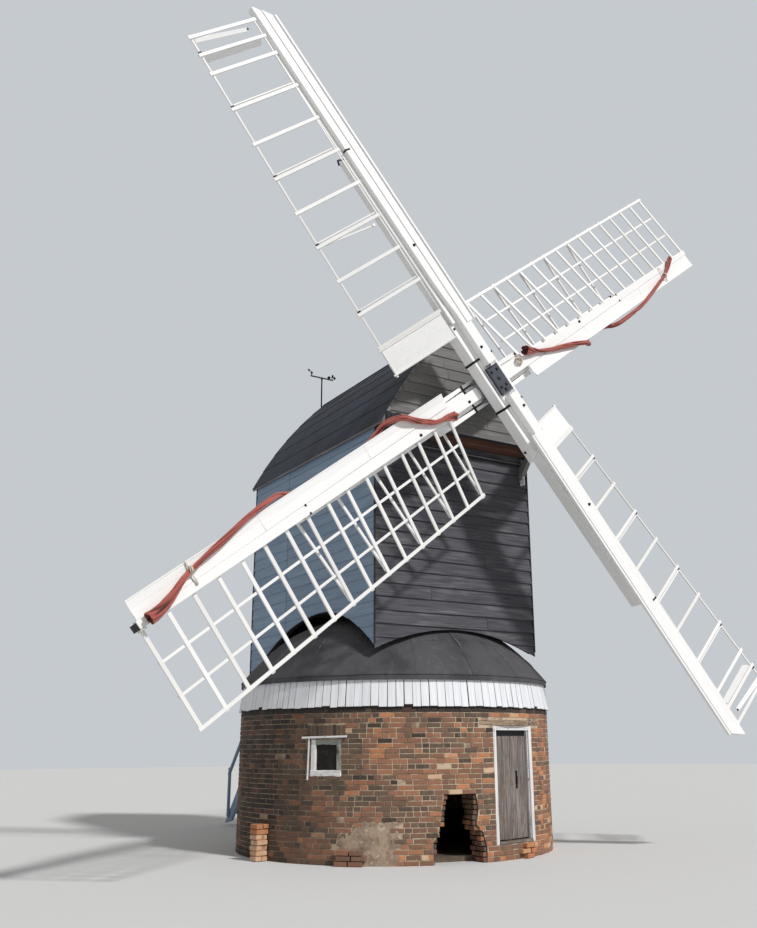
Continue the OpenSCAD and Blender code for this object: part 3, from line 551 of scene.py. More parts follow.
def brickFinish(paint):
    place = paint.space()
    grit = paint.clouds(place, 60, 5, 0.7)
    patch = paint.clouds(place, 9, 4)
    body = paint.ramp(paint.value("tone") + (patch - 0.5) * 0.22 + (grit - 0.5) * 0.12, brickLook["tones"])
    body = paint.mix(paint.ease(grit, 0.56, 0.72, 0.5), body, brickLook["speck"])
    body = paint.mix(paint.ease(paint.clouds(place, 26, 5, 0.7), 0.58, 0.74, 0.55), body, brickLook["bloom"])
    # the stored value darkens the bricks: sooty and damp ones, and painted shade on the left, under the white boards
    # and deep in the hole
    body = paint.mix(paint.value("wear"), body, brickLook["soot"])
    return paint.coat(body, grit * 0.2 + 0.78, grit * 0.7 + patch * 0.5, 0.004, 0.7)


def wallFinish(paint):
    # mortar outside, behind the laid bricks, and plain coursed brickwork inside
    place = paint.space()
    x, y, z = (paint.node("SeparateXYZ", {}, {0: place}, i) for i in range(3))
    reach = (x * x + y * y) ** 0.5
    angle = x.join("ARCTAN2", x, y)
    flat = paint.node("CombineXYZ", {}, {0: angle * 2.4 + reach, 1: z, 2: 0.0})
    colours = zip(("Color1", "Color2", "Mortar"), (srgb(*c) for c in wallLook["bricks"]))
    laid = paint.node("TexBrick", {"offset": 0.5, "squash": 1.0}, {
        "Vector": flat, "Scale": 1.0, "Mortar Size": 0.006, "Mortar Smooth": 0.3, "Bias": 0.0,
        "Brick Width": 0.225, "Row Height": 0.076, **dict(colours)})
    grit = paint.clouds(place, 45, 5, 0.7)
    patch = paint.clouds(place, 5, 4)
    inner = paint.mix(paint.ease(patch, 0.45, 0.7, 0.6), laid, wallLook["innerDirt"])
    joint = paint.mix(paint.ease(patch, 0.42, 0.62), wallLook["mortar"], wallLook["oldMortar"])
    joint = paint.mix(grit * 0.5, joint, wallLook["grit"])
    joint = paint.mix(paint.ease(0 - x, 1.5, 2.6, 0.5), joint, wallLook["shaded"])
    # painted shadow of the white boards on the mortar at the top of the wall
    joint = paint.mix(paint.ease(z, 2.19, 2.23), joint, wallLook["paintedEaveShadow"])
    return paint.coat(paint.mix(reach > wallLook["skin"], inner, joint), grit * 0.2 + 0.78, grit, 0.005, 0.8)


def cementFinish(paint):
    place = paint.space()
    grit = paint.clouds(place, 42, 6, 0.7)
    patch = paint.clouds(place, 7, 4)
    colour = paint.mix(paint.ease(patch, 0.4, 0.62), (170, 150, 130), (140, 122, 106))
    colour = paint.mix(paint.ease(grit, 0.5, 0.7, 0.7), colour, (104, 86, 74))
    return paint.coat(colour, None, grit + patch, 0.008, 0.9)


def groundFinish(paint):
    place = paint.space()
    lump = paint.clouds(place, 6, 6, 0.65)
    grit = paint.clouds(place, 60, 4)
    colour = paint.mix(grit * 0.5, paint.ramp(lump, ((0.3, (72, 62, 52)), (0.6, (110, 98, 82)))), (84, 74, 62))
    return paint.coat(colour, None, lump + grit * 0.4, 0.01, 0.8)


def glassFinish(paint):
    # an opaque near-black pane with dust: the black is painted shade of the room behind it
    paint.shader.inputs["Specular IOR Level"].default_value = 0.3
    dust = paint.ease(paint.clouds(paint.space(), 9, 6, 0.7), 0.45, 0.75)
    return paint.coat(paint.mix(dust * 0.35, (20, 17, 16), (70, 60, 52)), dust * 0.5 + 0.18, dust, 0.0005, 0.3)


def clothFinish(paint):
    # weathered red sailcloth with a fine weave; the lighter salmon on the ridges and dark red in the folds and inner
    # turns is painted light and shade
    paint.shader.inputs["Sheen Weight"].default_value = 0.25
    grain = paint.space((1, 1, 1), "grain")
    weave = paint.bands(grain, "X", 160.0, 1.0, 0)
    cross = paint.bands(grain, "Y", 160.0, 1.0, 1)
    blotch = paint.clouds(grain, 3.0, 5, 0.6)
    colour = paint.mix(paint.ease(paint.value("tone"), 0.05, 0.8), (78, 30, 28), (166, 82, 72))
    colour = paint.mix(paint.ease(blotch, 0.5, 0.75, 0.55), colour, (192, 116, 102))
    colour = paint.mix(paint.ease(paint.clouds(grain, 14, 4), 0.56, 0.75, 0.45), colour, (112, 46, 40))
    height = paint.node("RGBToBW", {}, {0: weave}) * 0.5 + cross * 0.5 + blotch
    return paint.coat(colour, blotch * 0.2 + 0.72, height, 0.0012, 0.5)


def ropeFinish(paint):
    grain = paint.space((1, 1, 1), "grain")
    lay = paint.bands(grain, "DIAGONAL", 60.0, 0.6, 1)
    colour = paint.mix(lay, (196, 186, 168), (236, 230, 218))
    colour = paint.mix(paint.ease(paint.clouds(grain, 9, 5), 0.5, 0.7, 0.6), colour, (150, 138, 120))
    return paint.coat(colour, None, lay, 0.002, 0.8)


def masticFinish(paint):
    smear = paint.clouds(paint.space(), 14, 5)
    return paint.coat(paint.mix(paint.ease(smear, 0.42, 0.55), (140, 138, 132), (74, 74, 78)), None, smear, 0.002, 0.6)


others = {
    "brick": (brickFinish, 0.9), "brick_wall": (wallFinish, 0.92), "cement": (cementFinish, 0.95),
    "earth_floor": (groundFinish, 0.95), "dark_glass": (glassFinish, 0.12), "sail_cloth": (clothFinish, 0.85),
    "pale_rope": (ropeFinish, 0.9), "mastic": (masticFinish, 0.8),
}

# Round house: bricks laid one by one over the mortar of the CAD wall

house = {
    "radius": 2.75, "course": 0.076, "courses": 30, "brickHeight": 0.063, "stretcher": 0.215, "header": 0.102,
    "joint": 0.014, "proud": 0.006, "depth": 0.045, "holeAz": -11, "eaveShade": 2.19,
    "shortest": 0.06, "longest": 0.25, "crumb": 0.03, "runEnd": 0.9, "spalled": 0.008,
    "doorAz": 13.4, "doorHalf": 0.495, "sill": 0.23, "doorTop": 2.01, "lintelTop": 2.115,
    "windowAz": -54.7, "windowHalf": 0.259, "windowFoot": 1.27, "windowTop": 1.81, "soldierTop": 2.03,
    "soldiers": 9, "soldierGap": 0.0745, "patchFrom": -51, "patchTo": -31.5, "patchFoot": 0.36, "patchTop": 0.62,
    "stepFrom": -50.6, "stepTo": -42.5, "stumpAz": -80, "stumpOut": 0.12,
}
perMetre = 57.3 / house["radius"]  # degrees round the wall
holeEdge = [(-0.42, -0.1), (-0.42, 0.31), (-0.34, 0.43), (-0.30, 0.64), (-0.24, 1.0), (0.30, 1.0), (0.34, 0.76),
            (0.30, 0.55), (0.42, 0.43), (0.48, 0.215), (0.48, -0.1)]


@modelledOnce
def brick(length, height=house["brickHeight"]):
    # one brick, its face towards -Y: the back taken off, the face inset and pushed out
    made = cube((0, house["depth"] / 2, 0), (length, house["depth"], height))
    pick(made, lambda f: f.normal.y > 0.9)
    bpy.ops.mesh.delete(type="FACE")
    pick(made, lambda f: f.normal.y < -0.9)
    bpy.ops.mesh.inset(thickness=0.005, use_boundary=True)
    shift(0, -0.004, 0)
    return takeMesh(made)


def wholeBrick(length, depth, height=0.064):
    # a brick with all its sides, its middle at the origin
    key = ("whole", round(length, 2), round(depth, 2), round(height, 3))
    if key not in patterns:
        mesh = timber(round(length, 2), round(depth, 2), height, bevel=0.005).copy()
        mesh.transform(at(-length / 2, 0, 0))
        patterns[key] = mesh
    return patterns[key]


def joinBricks(name, copies, wear):
    made = joinCopies(name, copies, "brick", "roundhouse")
    values = [w for (mesh, _, _), w in zip(copies, wear) for _ in mesh.vertices]
    made.data.attributes["wear"].data.foreach_set("value", values)
    return made


def holeWidth(z):
    # the broken hole from side to side at a height
    sides = []
    for (x0, z0), (x1, z1) in zip(holeEdge, holeEdge[1:] + holeEdge[:1]):
        if (z0 > z) != (z1 > z):
            sides.append((x1 - x0) * (z - z0) / (z1 - z0) + x0)
    return (min(sides), max(sides)) if sides else None


def openingsAt(row, z):
    # what the bricks of a course leave free, as azimuths from and to
    free = []
    for name, foot, middle, top, ease, over in (
            ("door", "sill", "doorTop", "lintelTop", 0.12, 6),
            ("window", "windowFoot", "windowTop", "soldierTop", 0.1, 1.2)):
        half = math.degrees(math.asin(house[name + "Half"] / house["radius"])) + ease
        if house[foot] < z < house[top]:
            half += over if z >= house[middle] else 0
            free.append((house[name + "Az"] - half, house[name + "Az"] + half))
    if z < house["patchTop"]:  # the top of the patch climbs from left to right
        rise = max(0, (z - house["patchFoot"]) / (house["patchTop"] - house["patchFoot"]))
        start = house["patchFrom"] + 12 * rise + 1.2 * math.sin(row * 1.7)
        free.append((start, house["patchTo"] + 2.2 * math.sin(row * 2.9)))
    ragged = [(x + dice.uniform(-0.018, 0.018)) / house["radius"] for x in holeWidth(z) or ()]
    if ragged:
        free.append(tuple(house["holeAz"] + math.degrees(math.asin(x)) for x in ragged))
    return sorted(free) or [(179.9, 180.1)]


def sootAt(az, z):
    # the shaded left of the wall is black: sooty and damp, and painted shade where it turns from the sun; the right is
    # clean
    if z > house["eaveShade"]:  # painted shadow of the white boards, black behind them
        return 0.9
    value = 0.52 * min(1, max(0, (-50 - az) / 24)) + 0.16 * min(1, max(0, (-20 - az) / 30))
    if az < -100 or az > 120:
        value = 0.28
    return min(0.85, max(0.0, value + 0.26 * ripple(az * 0.06, z * 1.7, 3.1) + 0.02))


def warmthAt(az, z):
    # clusters of orange and pale bricks, paler towards the sunlit right: there partly painted light, partly bleached
    # brick
    value = 0.42 + 0.34 * ripple(az * 0.045, z * 1.1, 9.4) + 0.16 * min(1, max(0, (az + 45) / 60))
    if -45 < az < 60 and z < 0.9:
        value += 0.14 * (0.9 - z) / 0.9
    return value


def layBricks():
    copies, wear = [], []
    r, joint = house["radius"], house["joint"]
    arc = math.degrees(1 / r)
    for row in range(house["courses"]):
        z = (row + 0.5) * house["course"]
        cuts = openingsAt(row, z)
        for i, (_, a) in enumerate(cuts):
            stop = cuts[(i + 1) % len(cuts)][0] + (360 if i == len(cuts) - 1 else 0)
            first = True
            while a < stop - house["runEnd"]:
                left = (stop - a) / arc
                size = house["stretcher"] if dice.random() < (0.72 if row % 3 else 0.35) else house["header"]
                if first and row % 2:
                    size = house["header"]
                first = False
                size += dice.uniform(-0.005, 0.004)
                if left - size - joint < house["shortest"]:  # one or two bricks fill up what is left
                    size = left - joint
                    if size > house["longest"]:
                        size = left / 2 - joint
                mid = (a + (size + joint) / 2 * arc + 180) % 360 - 180
                a += (size + joint) * arc
                if size < house["crumb"]:
                    continue
                out, up = dice.uniform(-0.003, 0.002), dice.uniform(-0.0015, 0.0015)
                place = turned("Z", mid) @ at(0, -r - house["proud"] + 0.004 + out, z + up)
                place = place @ turned("Y", dice.uniform(-0.5, 0.5)) @ turned("Z", dice.uniform(-0.7, 0.7))
                if dice.random() < house["spalled"] and z > 0.5:  # a brick whose face has spalled away
                    place = place @ at(0, 0.012, 0)
                tone = min(0.99, max(0.01, warmthAt(mid, z) + dice.gauss(0, 0.19)))
                copies.append((brick(round(size / 0.004) * 0.004), place, tone))
                # painted shade on the left and under the white boards, with sooty damp
                wear.append(sootAt(mid, z) + dice.uniform(-0.05, 0.08))
    addOpeningBricks(copies, wear)
    joinBricks("brickwork", copies, wear)
    print("bricks laid:", len(copies))


def addOpeningBricks(copies, wear):
    r = house["radius"]
    for i in range(house["soldiers"]):  # upright bricks over the window
        az = house["windowAz"] + (i - (house["soldiers"] - 1) / 2) * house["soldierGap"] * perMetre
        place = turned("Z", az) @ at(0, -r - 0.004, 1.925 + dice.uniform(-0.004, 0.004))
        copies.append((brick(0.064, 0.20), place, dice.uniform(0.05, 0.45)))
        wear.append(dice.uniform(0.35, 0.6))
    for row in range(13):  # broken bricks left in the sides of the hole
        z = (row + 0.5) * house["course"]
        for x in holeWidth(z):
            az = house["holeAz"] + math.degrees(math.asin(x / r))
            for depth in (0.075, 0.185, 0.29):
                size = dice.uniform(0.07, 0.15)
                place = turned("Z", az) @ at(dice.uniform(-0.012, 0.02) * math.copysign(1, -x), -r + depth, z)
                place = place @ turned("Z", dice.uniform(-8, 8)) @ turned("Y", dice.uniform(-3, 3))
                copies.append((wholeBrick(size, 0.095, 0.062), place, dice.uniform(0.2, 0.85)))
                # painted shade: the deeper in the hole, the darker the brick
                wear.append(dice.uniform(0, 0.3) + depth)
    for row in range(3):  # low step before the patched wall: bricks on their beds with open joints
        z = (row + 0.5) * 0.075
        az = house["stepFrom"] + (row % 2) * 0.6
        while az < house["stepTo"]:
            size = dice.uniform(0.19, 0.225)
            place = turned("Z", az + size / 2 * perMetre) @ at(0, -r - 0.052 + dice.uniform(-0.006, 0.003), z)
            copies.append((wholeBrick(size, 0.11), place, dice.uniform(0.45, 0.8)))
            wear.append(dice.uniform(0.05, 0.3))
            az += (size + house["joint"]) * perMetre


def addStump():
    # stump of an old wall, orange on top and cream below, its bricks laid crosswise by turns round a mortar core
    def foot(x, z):
        return turned("Z", house["stumpAz"]) @ at(x, -house["radius"] - house["stumpOut"], z)

    copies = [(wholeBrick(0.17, 0.17, 0.54), foot(0, 0.27), 0.9)]
    wear = [0.25]
    for row in range(7):
        tone, wide = (0.86, 0.215) if row > 4 else (0.99, 0.19)
        for side in (-0.053, 0.051):
            place = foot(0.012 * math.sin(row * 2.3 + 1), (row + 0.5) * 0.0785)
            place = place @ turned("Z", 90 * (row % 2) + dice.uniform(-5, 5)) @ at(dice.uniform(-0.008, 0.008), side, 0)
            place = place @ turned("Y", dice.uniform(-1.5, 1.5))
            copies.append((wholeBrick(wide, 0.1), place, tone + dice.uniform(-0.07, 0)))
            wear.append(0.02)
    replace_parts(joinBricks("wall_stump", copies, wear), "wall_stub")


def addPatch():
    # cement and rubble smeared over the broken foot of the wall
    wide = house["patchTo"] - house["patchFrom"]

    def smear(u, w):
        az = math.radians(house["patchFrom"] - 1.5 + (wide + 4) * u)
        top = house["patchTop"] + 0.05 + 0.07 * ripple(u * 5, 1, 2) - 0.5 * max(0, 0.42 - u)
        lump = 0.012 * ripple(u * 16, w * 9, 5) + 0.006 * ripple(u * 40, w * 24, 7)
        rim = min(u, 1 - u, 1 - w) * 12
        return around(az, house["radius"] - 0.02 + (0.024 + lump) * min(1, rim), w * top)

    patch = shapedGrid(40, 22, smear)
    patch.name = "wall_patch"
    faceOutwards(patch)
    bpy.ops.object.shade_smooth()
    settle(patch, "cement", "roundhouse")


# White boards under the roof's edge

fascia = {
    "boards": 132, "width": 0.1245, "thickness": 0.02, "foot": 2.293, "top": 2.735, "out": 0.046, "lean": 8.9,
    "ragged": 0.014, "plate": 0.09, "plateIn": 0.03, "plateLean": 0.055, "plateTall": 0.36, "plateMiddle": 2.56,
}


def addFascia():
    copies = []
    lean = math.tan(math.radians(fascia["lean"]))
    for i in range(fascia["boards"]):
        length = fascia["top"] - fascia["foot"] + dice.uniform(-1, 0.6) * fascia["ragged"]
        if dice.random() < 0.05:
            length -= dice.uniform(0.01, 0.04)
        az = 360 * i / fascia["boards"] + dice.uniform(-0.06, 0.06)
        wide = fascia["width"] + dice.choice((-0.012, -0.006, -0.002, 0, 0.002))
        board = timber(round(length, 2), wide, fascia["thickness"], bevel=0.003)
        out = house["radius"] + fascia["out"] - fascia["thickness"] / 2 + dice.uniform(-0.004, 0.003)
        foot = fascia["top"] - length
        place = turned("Z", az) @ at(0, -out + (foot - fascia["foot"]) * lean, foot)
        # the board's length goes up and in, its width round the wall
        place = place @ turned("X", -fascia["lean"]) @ turned("Y", -90) @ turned("X", 90 + dice.uniform(-0.8, 0.8))
        copies.append((board, place, dice.uniform(0, 0.25)))
    joinCopies("fascia_boards", copies, "fasciaWhite", "roundhouse", ["fascia"])
    deselectAll()
    bpy.ops.mesh.primitive_cylinder_add(
        vertices=96, radius=house["radius"] - fascia["plateIn"], depth=fascia["plateTall"], end_fill_type="NOTHING",
        location=(0, 0, fascia["plateMiddle"]))
    back = bpy.context.object
    back.name = "wall_plate"
    for v in back.data.vertices:
        if v.co.z > 0:
            share = (house["radius"] - fascia["plateLean"]) / math.hypot(v.co.x, v.co.y)
            v.co.x *= share
            v.co.y *= share
    bpy.ops.object.transform_apply(location=True)
    solidify(back, fascia["plate"])
    settle(back, (finish("oldOak", (0, 0, 1)), "old_oak"), "roundhouse")


# Felt on the round house roof, with pale beads of mastic along its joints

roundRoof = {
    "radius": 2.77, "eave": 2.79, "edge": 51, "upper": 22.5, "foot": 1.15, "inner": 0.345, "strips": 18,
    "lift": 0.003, "lap": 0.007, "fold": 0.014, "felt": 0.004, "turn": -4,
}


def roofRise(t):
    # height over the eave at a distance in from it: a curve, then a straight slope
    steep, shallow = math.tan(math.radians(roundRoof["edge"])), math.tan(math.radians(roundRoof["upper"]))
    near = min(t, roundRoof["foot"])
    return steep * near - (steep - shallow) / 2 / roundRoof["foot"] * near ** 2 + shallow * (t - near)


def onRoof(az, t, lift):
    # a point over the round roof; t is the distance in from the eave
    return Vector(around(az, roundRoof["radius"] - t, roundRoof["eave"] + roofRise(t) + lift))


def addRoundFelt():
    # one strip is modelled, then turned round the roof; each laps its neighbour
    wide = 360 / roundRoof["strips"]
    across = roundRoof["radius"] - roundRoof["inner"]

    def strip(u, w):
        w = (w - 0.05) / 0.95
        point = onRoof(math.radians(wide * (u * 1.06 - 0.03)), across * max(0, w) ** 1.25,
                       roundRoof["lift"] + roundRoof["lap"] * (1 - u))
        if w < 0:  # folded down over the eave
            point.z -= roundRoof["fold"]
            point.xy *= 1 + 0.012 / roundRoof["radius"]
        return point

    made = shapedGrid(8, 20, strip)
    solidify(made, roundRoof["felt"])
    mesh = takeMesh(made)
    copies = []
    for i in range(roundRoof["strips"]):
        place = turned("Z", i * wide + roundRoof["turn"]) @ at(0, 0, dice.uniform(-0.001, 0.002))
        copies.append((mesh, place, dice.random()))
    joinCopies("round_felt", copies, "felt_round", "roundhouse", smooth=30)
    copies, steps = [], 7
    for i in range(roundRoof["strips"]):
        az = math.radians(i * wide + roundRoof["turn"] + 0.4)
        t0 = dice.uniform(0.03, 0.5)
        t1 = t0 + dice.uniform(0.2, 1.0)
        ends = [onRoof(az + 0.0015 * math.sin(k * 1.9 + i), t0 + (t1 - t0) * k / steps, 0.0125)
                for k in range(steps + 1)]
        copies += [beam(p, q, 0.007, 0.004, bevel=0.001) for p, q in zip(ends, ends[1:])]
    joinCopies("mastic_beads", copies, "mastic", "roundhouse")


def addRoofMark():
    # pale scraped line round the body's foot
    copies = []
    az = -62.0
    while az < 52:
        step = dice.uniform(1.2, 4.5)
        reaches = [(a, 2.2 + 0.3 * ((a + 2) / 48) ** 2) for a in (az, az + step)]
        p, q = (onRoof(math.radians(a), roundRoof["radius"] - reach, 0.012) for a, reach in reaches)
        copies.append(beam(p, q, dice.uniform(0.006, 0.014), 0.003, bevel=0.001))
        az += step + (dice.uniform(0.3, 5) if dice.random() < 0.4 else 0)
    joinCopies("roof_mark", copies, "mastic", "roundhouse")

# Weatherboards of the body: lapped boards cut to each wall's outline

body = {
    "half": 1.64, "breast": -2.05, "tail": 2.75, "gauge": 0.2, "lap": 0.03, "board": 0.014, "thrust": 0.024,
    "high": 0.006, "slit": 0.003, "edge": 0.012, "doorway": 0.43, "doorFoot": 4.42, "doorHead": 6.22,
    "eave": 6.93, "ridge": 9.19, "eaveOver": 0.075, "bulge": 0.13, "cover": 0.06, "head": -2.40,
    "gableFoot": 6.95, "breastLow": 3.24, "breastHigh": 3.57, "sideFront": 3.26, "sideHigh": 3.97, "peak": -0.2,
    "sideTail": 2.98, "tailHigh": 3.25, "cheekFoot": 6.81, "cheekTop": 7.02,
    "breastFrom": 3.16, "breastGauge": 0.222, "breastThrust": 0.034, "sideFrom": 2.96, "sideTop": 6.96,
    "sideJoint": 1.21, "sideSlit": 0.009, "gableTop": 9.15, "tailFrom": 2.93, "tailTop": 9.12,
}
eaveX = body["half"] + body["eaveOver"]
chord = math.hypot(eaveX, body["ridge"] - body["eave"])
arcRadius = (chord ** 2 / 4 + body["bulge"] ** 2) / 2 / body["bulge"]
arcIn = arcRadius - body["bulge"]
arcX = eaveX / 2 - arcIn * (body["ridge"] - body["eave"]) / chord
arcZ = (body["eave"] + body["ridge"]) / 2 - arcIn * eaveX / chord
arcFrom = math.atan2(body["eave"] - arcZ, eaveX - arcX)
arcTo = math.atan2(body["ridge"] - arcZ, -arcX)


def roofPoint(u, out=0.0):
    # x and z on the roof's arc: u is 0 at the eave and 1 at the ridge
    a = arcFrom + (arcTo - arcFrom) * u
    return arcX + (arcRadius + out) * math.cos(a), arcZ + (arcRadius + out) * math.sin(a)


def roofOver(x, out=0.0):
    # height of the roof's surface over a distance from the ridge line
    return arcZ + math.sqrt((arcRadius + out) ** 2 - (abs(x) - arcX) ** 2)


def boardColumns(left, right, low, high, count=26):
    # where a board between two heights lies inside the outline: runs of (u, foot, head)
    runs, run, last = [], [], None
    for i in range(count + 1):
        u = left + (right - left) * i / count
        inside = high(u) > low(u)
        if last and inside != last[1]:
            a, b = (last[0], u) if last[1] else (u, last[0])
            for _ in range(18):
                m = (a + b) / 2
                a, b = (m, b) if high(m) > low(m) else (a, m)
            run.append((a, low(a), high(a)))
            if last[1]:
                runs.append(run)
                run = []
        if inside:
            run.append((u, low(u), high(u)))
        last = (u, inside)
    return [r for r in (*runs, run) if len(r) > 1]


def boardWall(name, coat, place, left, right, low, high, foot, head, joints=lambda row: (), **more):
    # boards from low to high, cut to the outline from foot(u) to head(u) and butted at the joints of each row;
    # place takes (u, out, z). More: the gauge, how far the lower edge stands out, and the slit at the ends
    gauge, thrust, slit = (more.get(k, body[k]) for k in ("gauge", "thrust", "slit"))
    points, loops, grain, tone, wear = [], [], [], [], []
    for row in range(math.ceil((high - low) / gauge)):
        z0 = low + row * gauge
        z1 = z0 + gauge + body["lap"]
        stops = sorted([left, right, *joints(row)])
        for a, b in zip(stops, stops[1:]):
            sag = dice.uniform(-0.003, 0.003)
            under = lambda u: max(z0 + sag * math.sin((u - a) * 1.3) + 0.0015 * ripple(u * 3, z0, 4), foot(u))
            over = lambda u: min(z1, head(u))
            shade, worn, slide = dice.random(), dice.random(), Vector((dice.random() * 30, dice.random() * 9, 0))
            bow = dice.uniform(-0.002, 0.002)
            for run in boardColumns(a + slit, b - slit, under, over):
                base = len(points)
                for u, *ends in run:
                    for z in ends:
                        share = min(1, max(0, (z - z0) / (z1 - z0)))
                        out = thrust + (body["high"] - thrust) * share + bow * math.sin(u * 2.1) * (1 - share)
                        points.append(Vector((u, out, z)))
                        grain.extend(Vector((u, z, 0)) + slide)
                tone.extend([shade] * 2 * len(run))
                wear.extend([worn] * 2 * len(run))
                loops += [[k, k + 1, k + 3, k + 2] for k in range(base, len(points) - 2, 2)]
    # modelled flat, outwards along +Y; the boards get their thickness, then the wall is stood in its place
    made = newPiece(name, points, loops, grain, tone=tone, wear=wear)
    editAll(made)
    bpy.ops.mesh.remove_doubles(threshold=0.00001)
    bpy.ops.object.mode_set(mode="OBJECT")
    solidify(made, body["board"])
    made.data.transform(place)
    if place.determinant() < 0:
        made.data.flip_normals()
    return settle(made, coat, "buck")


def archFoot(corner, crown, half=1.55):
    return lambda u: crown - (crown - corner) * (u / half) ** 2


def sideFoot(y):
    end, low = (body["breast"], body["sideFront"]) if y < body["peak"] else (body["tail"], body["sideTail"])
    return body["sideHigh"] - (body["sideHigh"] - low) * ((y - body["peak"]) / (end - body["peak"])) ** 2


def addBoards():
    half, tail, head, eave = (body[k] for k in ("half", "tail", "head", "eave"))
    wide = half + body["edge"]
    under = lambda u: roofOver(u, -body["cover"]) - 0.004
    front = standing((1, 0, 0, 0), (0, -1, 0, body["breast"]))
    boardWall(
        "breast_boards", "tarBoards", front, -wide, wide, body["breastFrom"], eave,
        archFoot(body["breastLow"], body["breastHigh"]), lambda u: eave, gauge=body["breastGauge"],
        thrust=body["breastThrust"], joints=lambda r: (0.62,) if r % 5 == 2 else ((-0.55,) if r % 7 == 4 else ()))
    boardWall(
        "gable_boards", "gableGrey", standing((1, 0, 0, 0), (0, -1, 0, head)), -half, half, eave, body["gableTop"],
        lambda u: body["gableFoot"], lambda u: roofOver(u, -body["cover"] + 0.004),
        joints=lambda r: ((-0.34, 0.5) if r % 2 else (-0.42, 0.28)) if r < 7 else ())
    sides = {"left": standing((0, -1, 0, -half), (1, 0, 0, 0)), "right": standing((0, 1, 0, half), (1, 0, 0, 0))}
    for side, place in sides.items():
        boardWall(
            side + "_boards", "blueGrey", place, body["breast"] - 0.018, tail + body["edge"], body["sideFrom"],
            body["sideTop"], sideFoot, lambda u: body["sideTop"], lambda r: (body["sideJoint"],), slit=body["sideSlit"])
    back = standing((-1, 0, 0, 0), (0, 1, 0, tail))
    foot, top, gap = body["doorFoot"], body["doorHead"], body["doorway"]
    for name, left, right, low, high, cut in (
            ("tail_boards", -wide, wide, body["tailFrom"], foot, archFoot(body["sideTail"], body["tailHigh"])),
            ("tail_boards_near", -wide, -gap, foot, top, lambda u: foot),
            ("tail_boards_far", gap, wide, foot, top, lambda u: foot)):
        over = (lambda u: min(foot, under(u))) if high == foot else under
        boardWall(name, "tarBoards", back, left, right, low, high, cut, over)
    boardWall(
        "tail_gable_boards", "tarBoards", back, -half, half, top, body["tailTop"], lambda u: top, under,
        joints=lambda r: (0.35,) if r % 2 else (-0.5,))
    for side in ("right", "left"):
        boardWall(
            "cheek_boards_" + side, "blackBoards", sides[side], head - 0.004, body["breast"] - 0.03,
            body["cheekFoot"], body["cheekTop"], lambda u: body["cheekFoot"], lambda u: body["cheekTop"])
    print("weatherboards hung")


# Slim corner boards, the ledge's flashing, the brackets under the head, and black boards that close the corners
# below the verge, where the head stands out. Each timber: y and z of its ends, width, depth, tone

trim = {
    "corner_boards": ("blackBoards", 1.65, (
        (-2.07, 3.27, -2.07, 6.80, 0.022, 0.03, 0.9), (2.768, 3.0, 2.768, 7.0, 0.022, 0.04, 0.9))),
    "head_brackets": ("gableGrey", 1.5, (
        (-2.07, 6.44, -2.36, 6.80, 0.09, 0.11, 0.4), (-2.085, 6.40, -2.085, 6.80, 0.12, 0.05, 0.6))),
    "bracket_feet": ("frameWhite", 1.5, ((-2.10, 6.30, -2.10, 6.46, 0.17, 0.03, 0.2),)),
}
flashing = {"y": -2.108, "z": 6.70, "wide": 0.04, "thick": 0.012, "roll": -14}
blocks = {
    "x": 1.415, "gap": 0.098, "y": -2.455, "foot": 6.80, "head": 7.085, "ragged": 0.02, "wide": 0.094, "thick": 0.026,
}


def addTrim(name):
    coat, x, timbers = trim[name]
    copies = [beam((side * x, y0, z0), (side * x, y1, z1), wide, depth, tone=tone)
              for side in (-1, 1) for y0, z0, y1, z1, wide, depth, tone in timbers]
    joinCopies(name, copies, coat, "buck")


def addCornerPosts():
    addTrim("corner_boards")
    p, q = ((x, flashing["y"], flashing["z"]) for x in (-body["half"], body["half"]))
    strip = beam(p, q, flashing["wide"], flashing["thick"], roll=flashing["roll"], tone=0.9, cuts=8)
    joinCopies("ledge_flashing", [strip], "gableGrey", "buck")
    addTrim("head_brackets")
    addTrim("bracket_feet")
    copies = []
    for side in (-1, 1):
        for k in range(3):
            x = side * (blocks["x"] + blocks["gap"] * k)
            p, q = ((x, blocks["y"], z) for z in (blocks["foot"], blocks["head"] - blocks["ragged"] * (k % 2)))
            copies.append(beam(p, q, blocks["wide"], blocks["thick"], roll=90, tone=0.9))
    joinCopies("corner_blocks", copies, "blackBoards", "buck")


# Felt on the body's roof, in strips along it, each lapping the one below

bodyRoof = {
    "strips": 6, "lift": 0.003, "lap": 0.008, "felt": 0.004, "front": -2.43, "back": 2.87, "verge": 0.055, "steps": 18,
    "cap": 0.005, "capTo": 0.055, "capLift": 0.016,
}


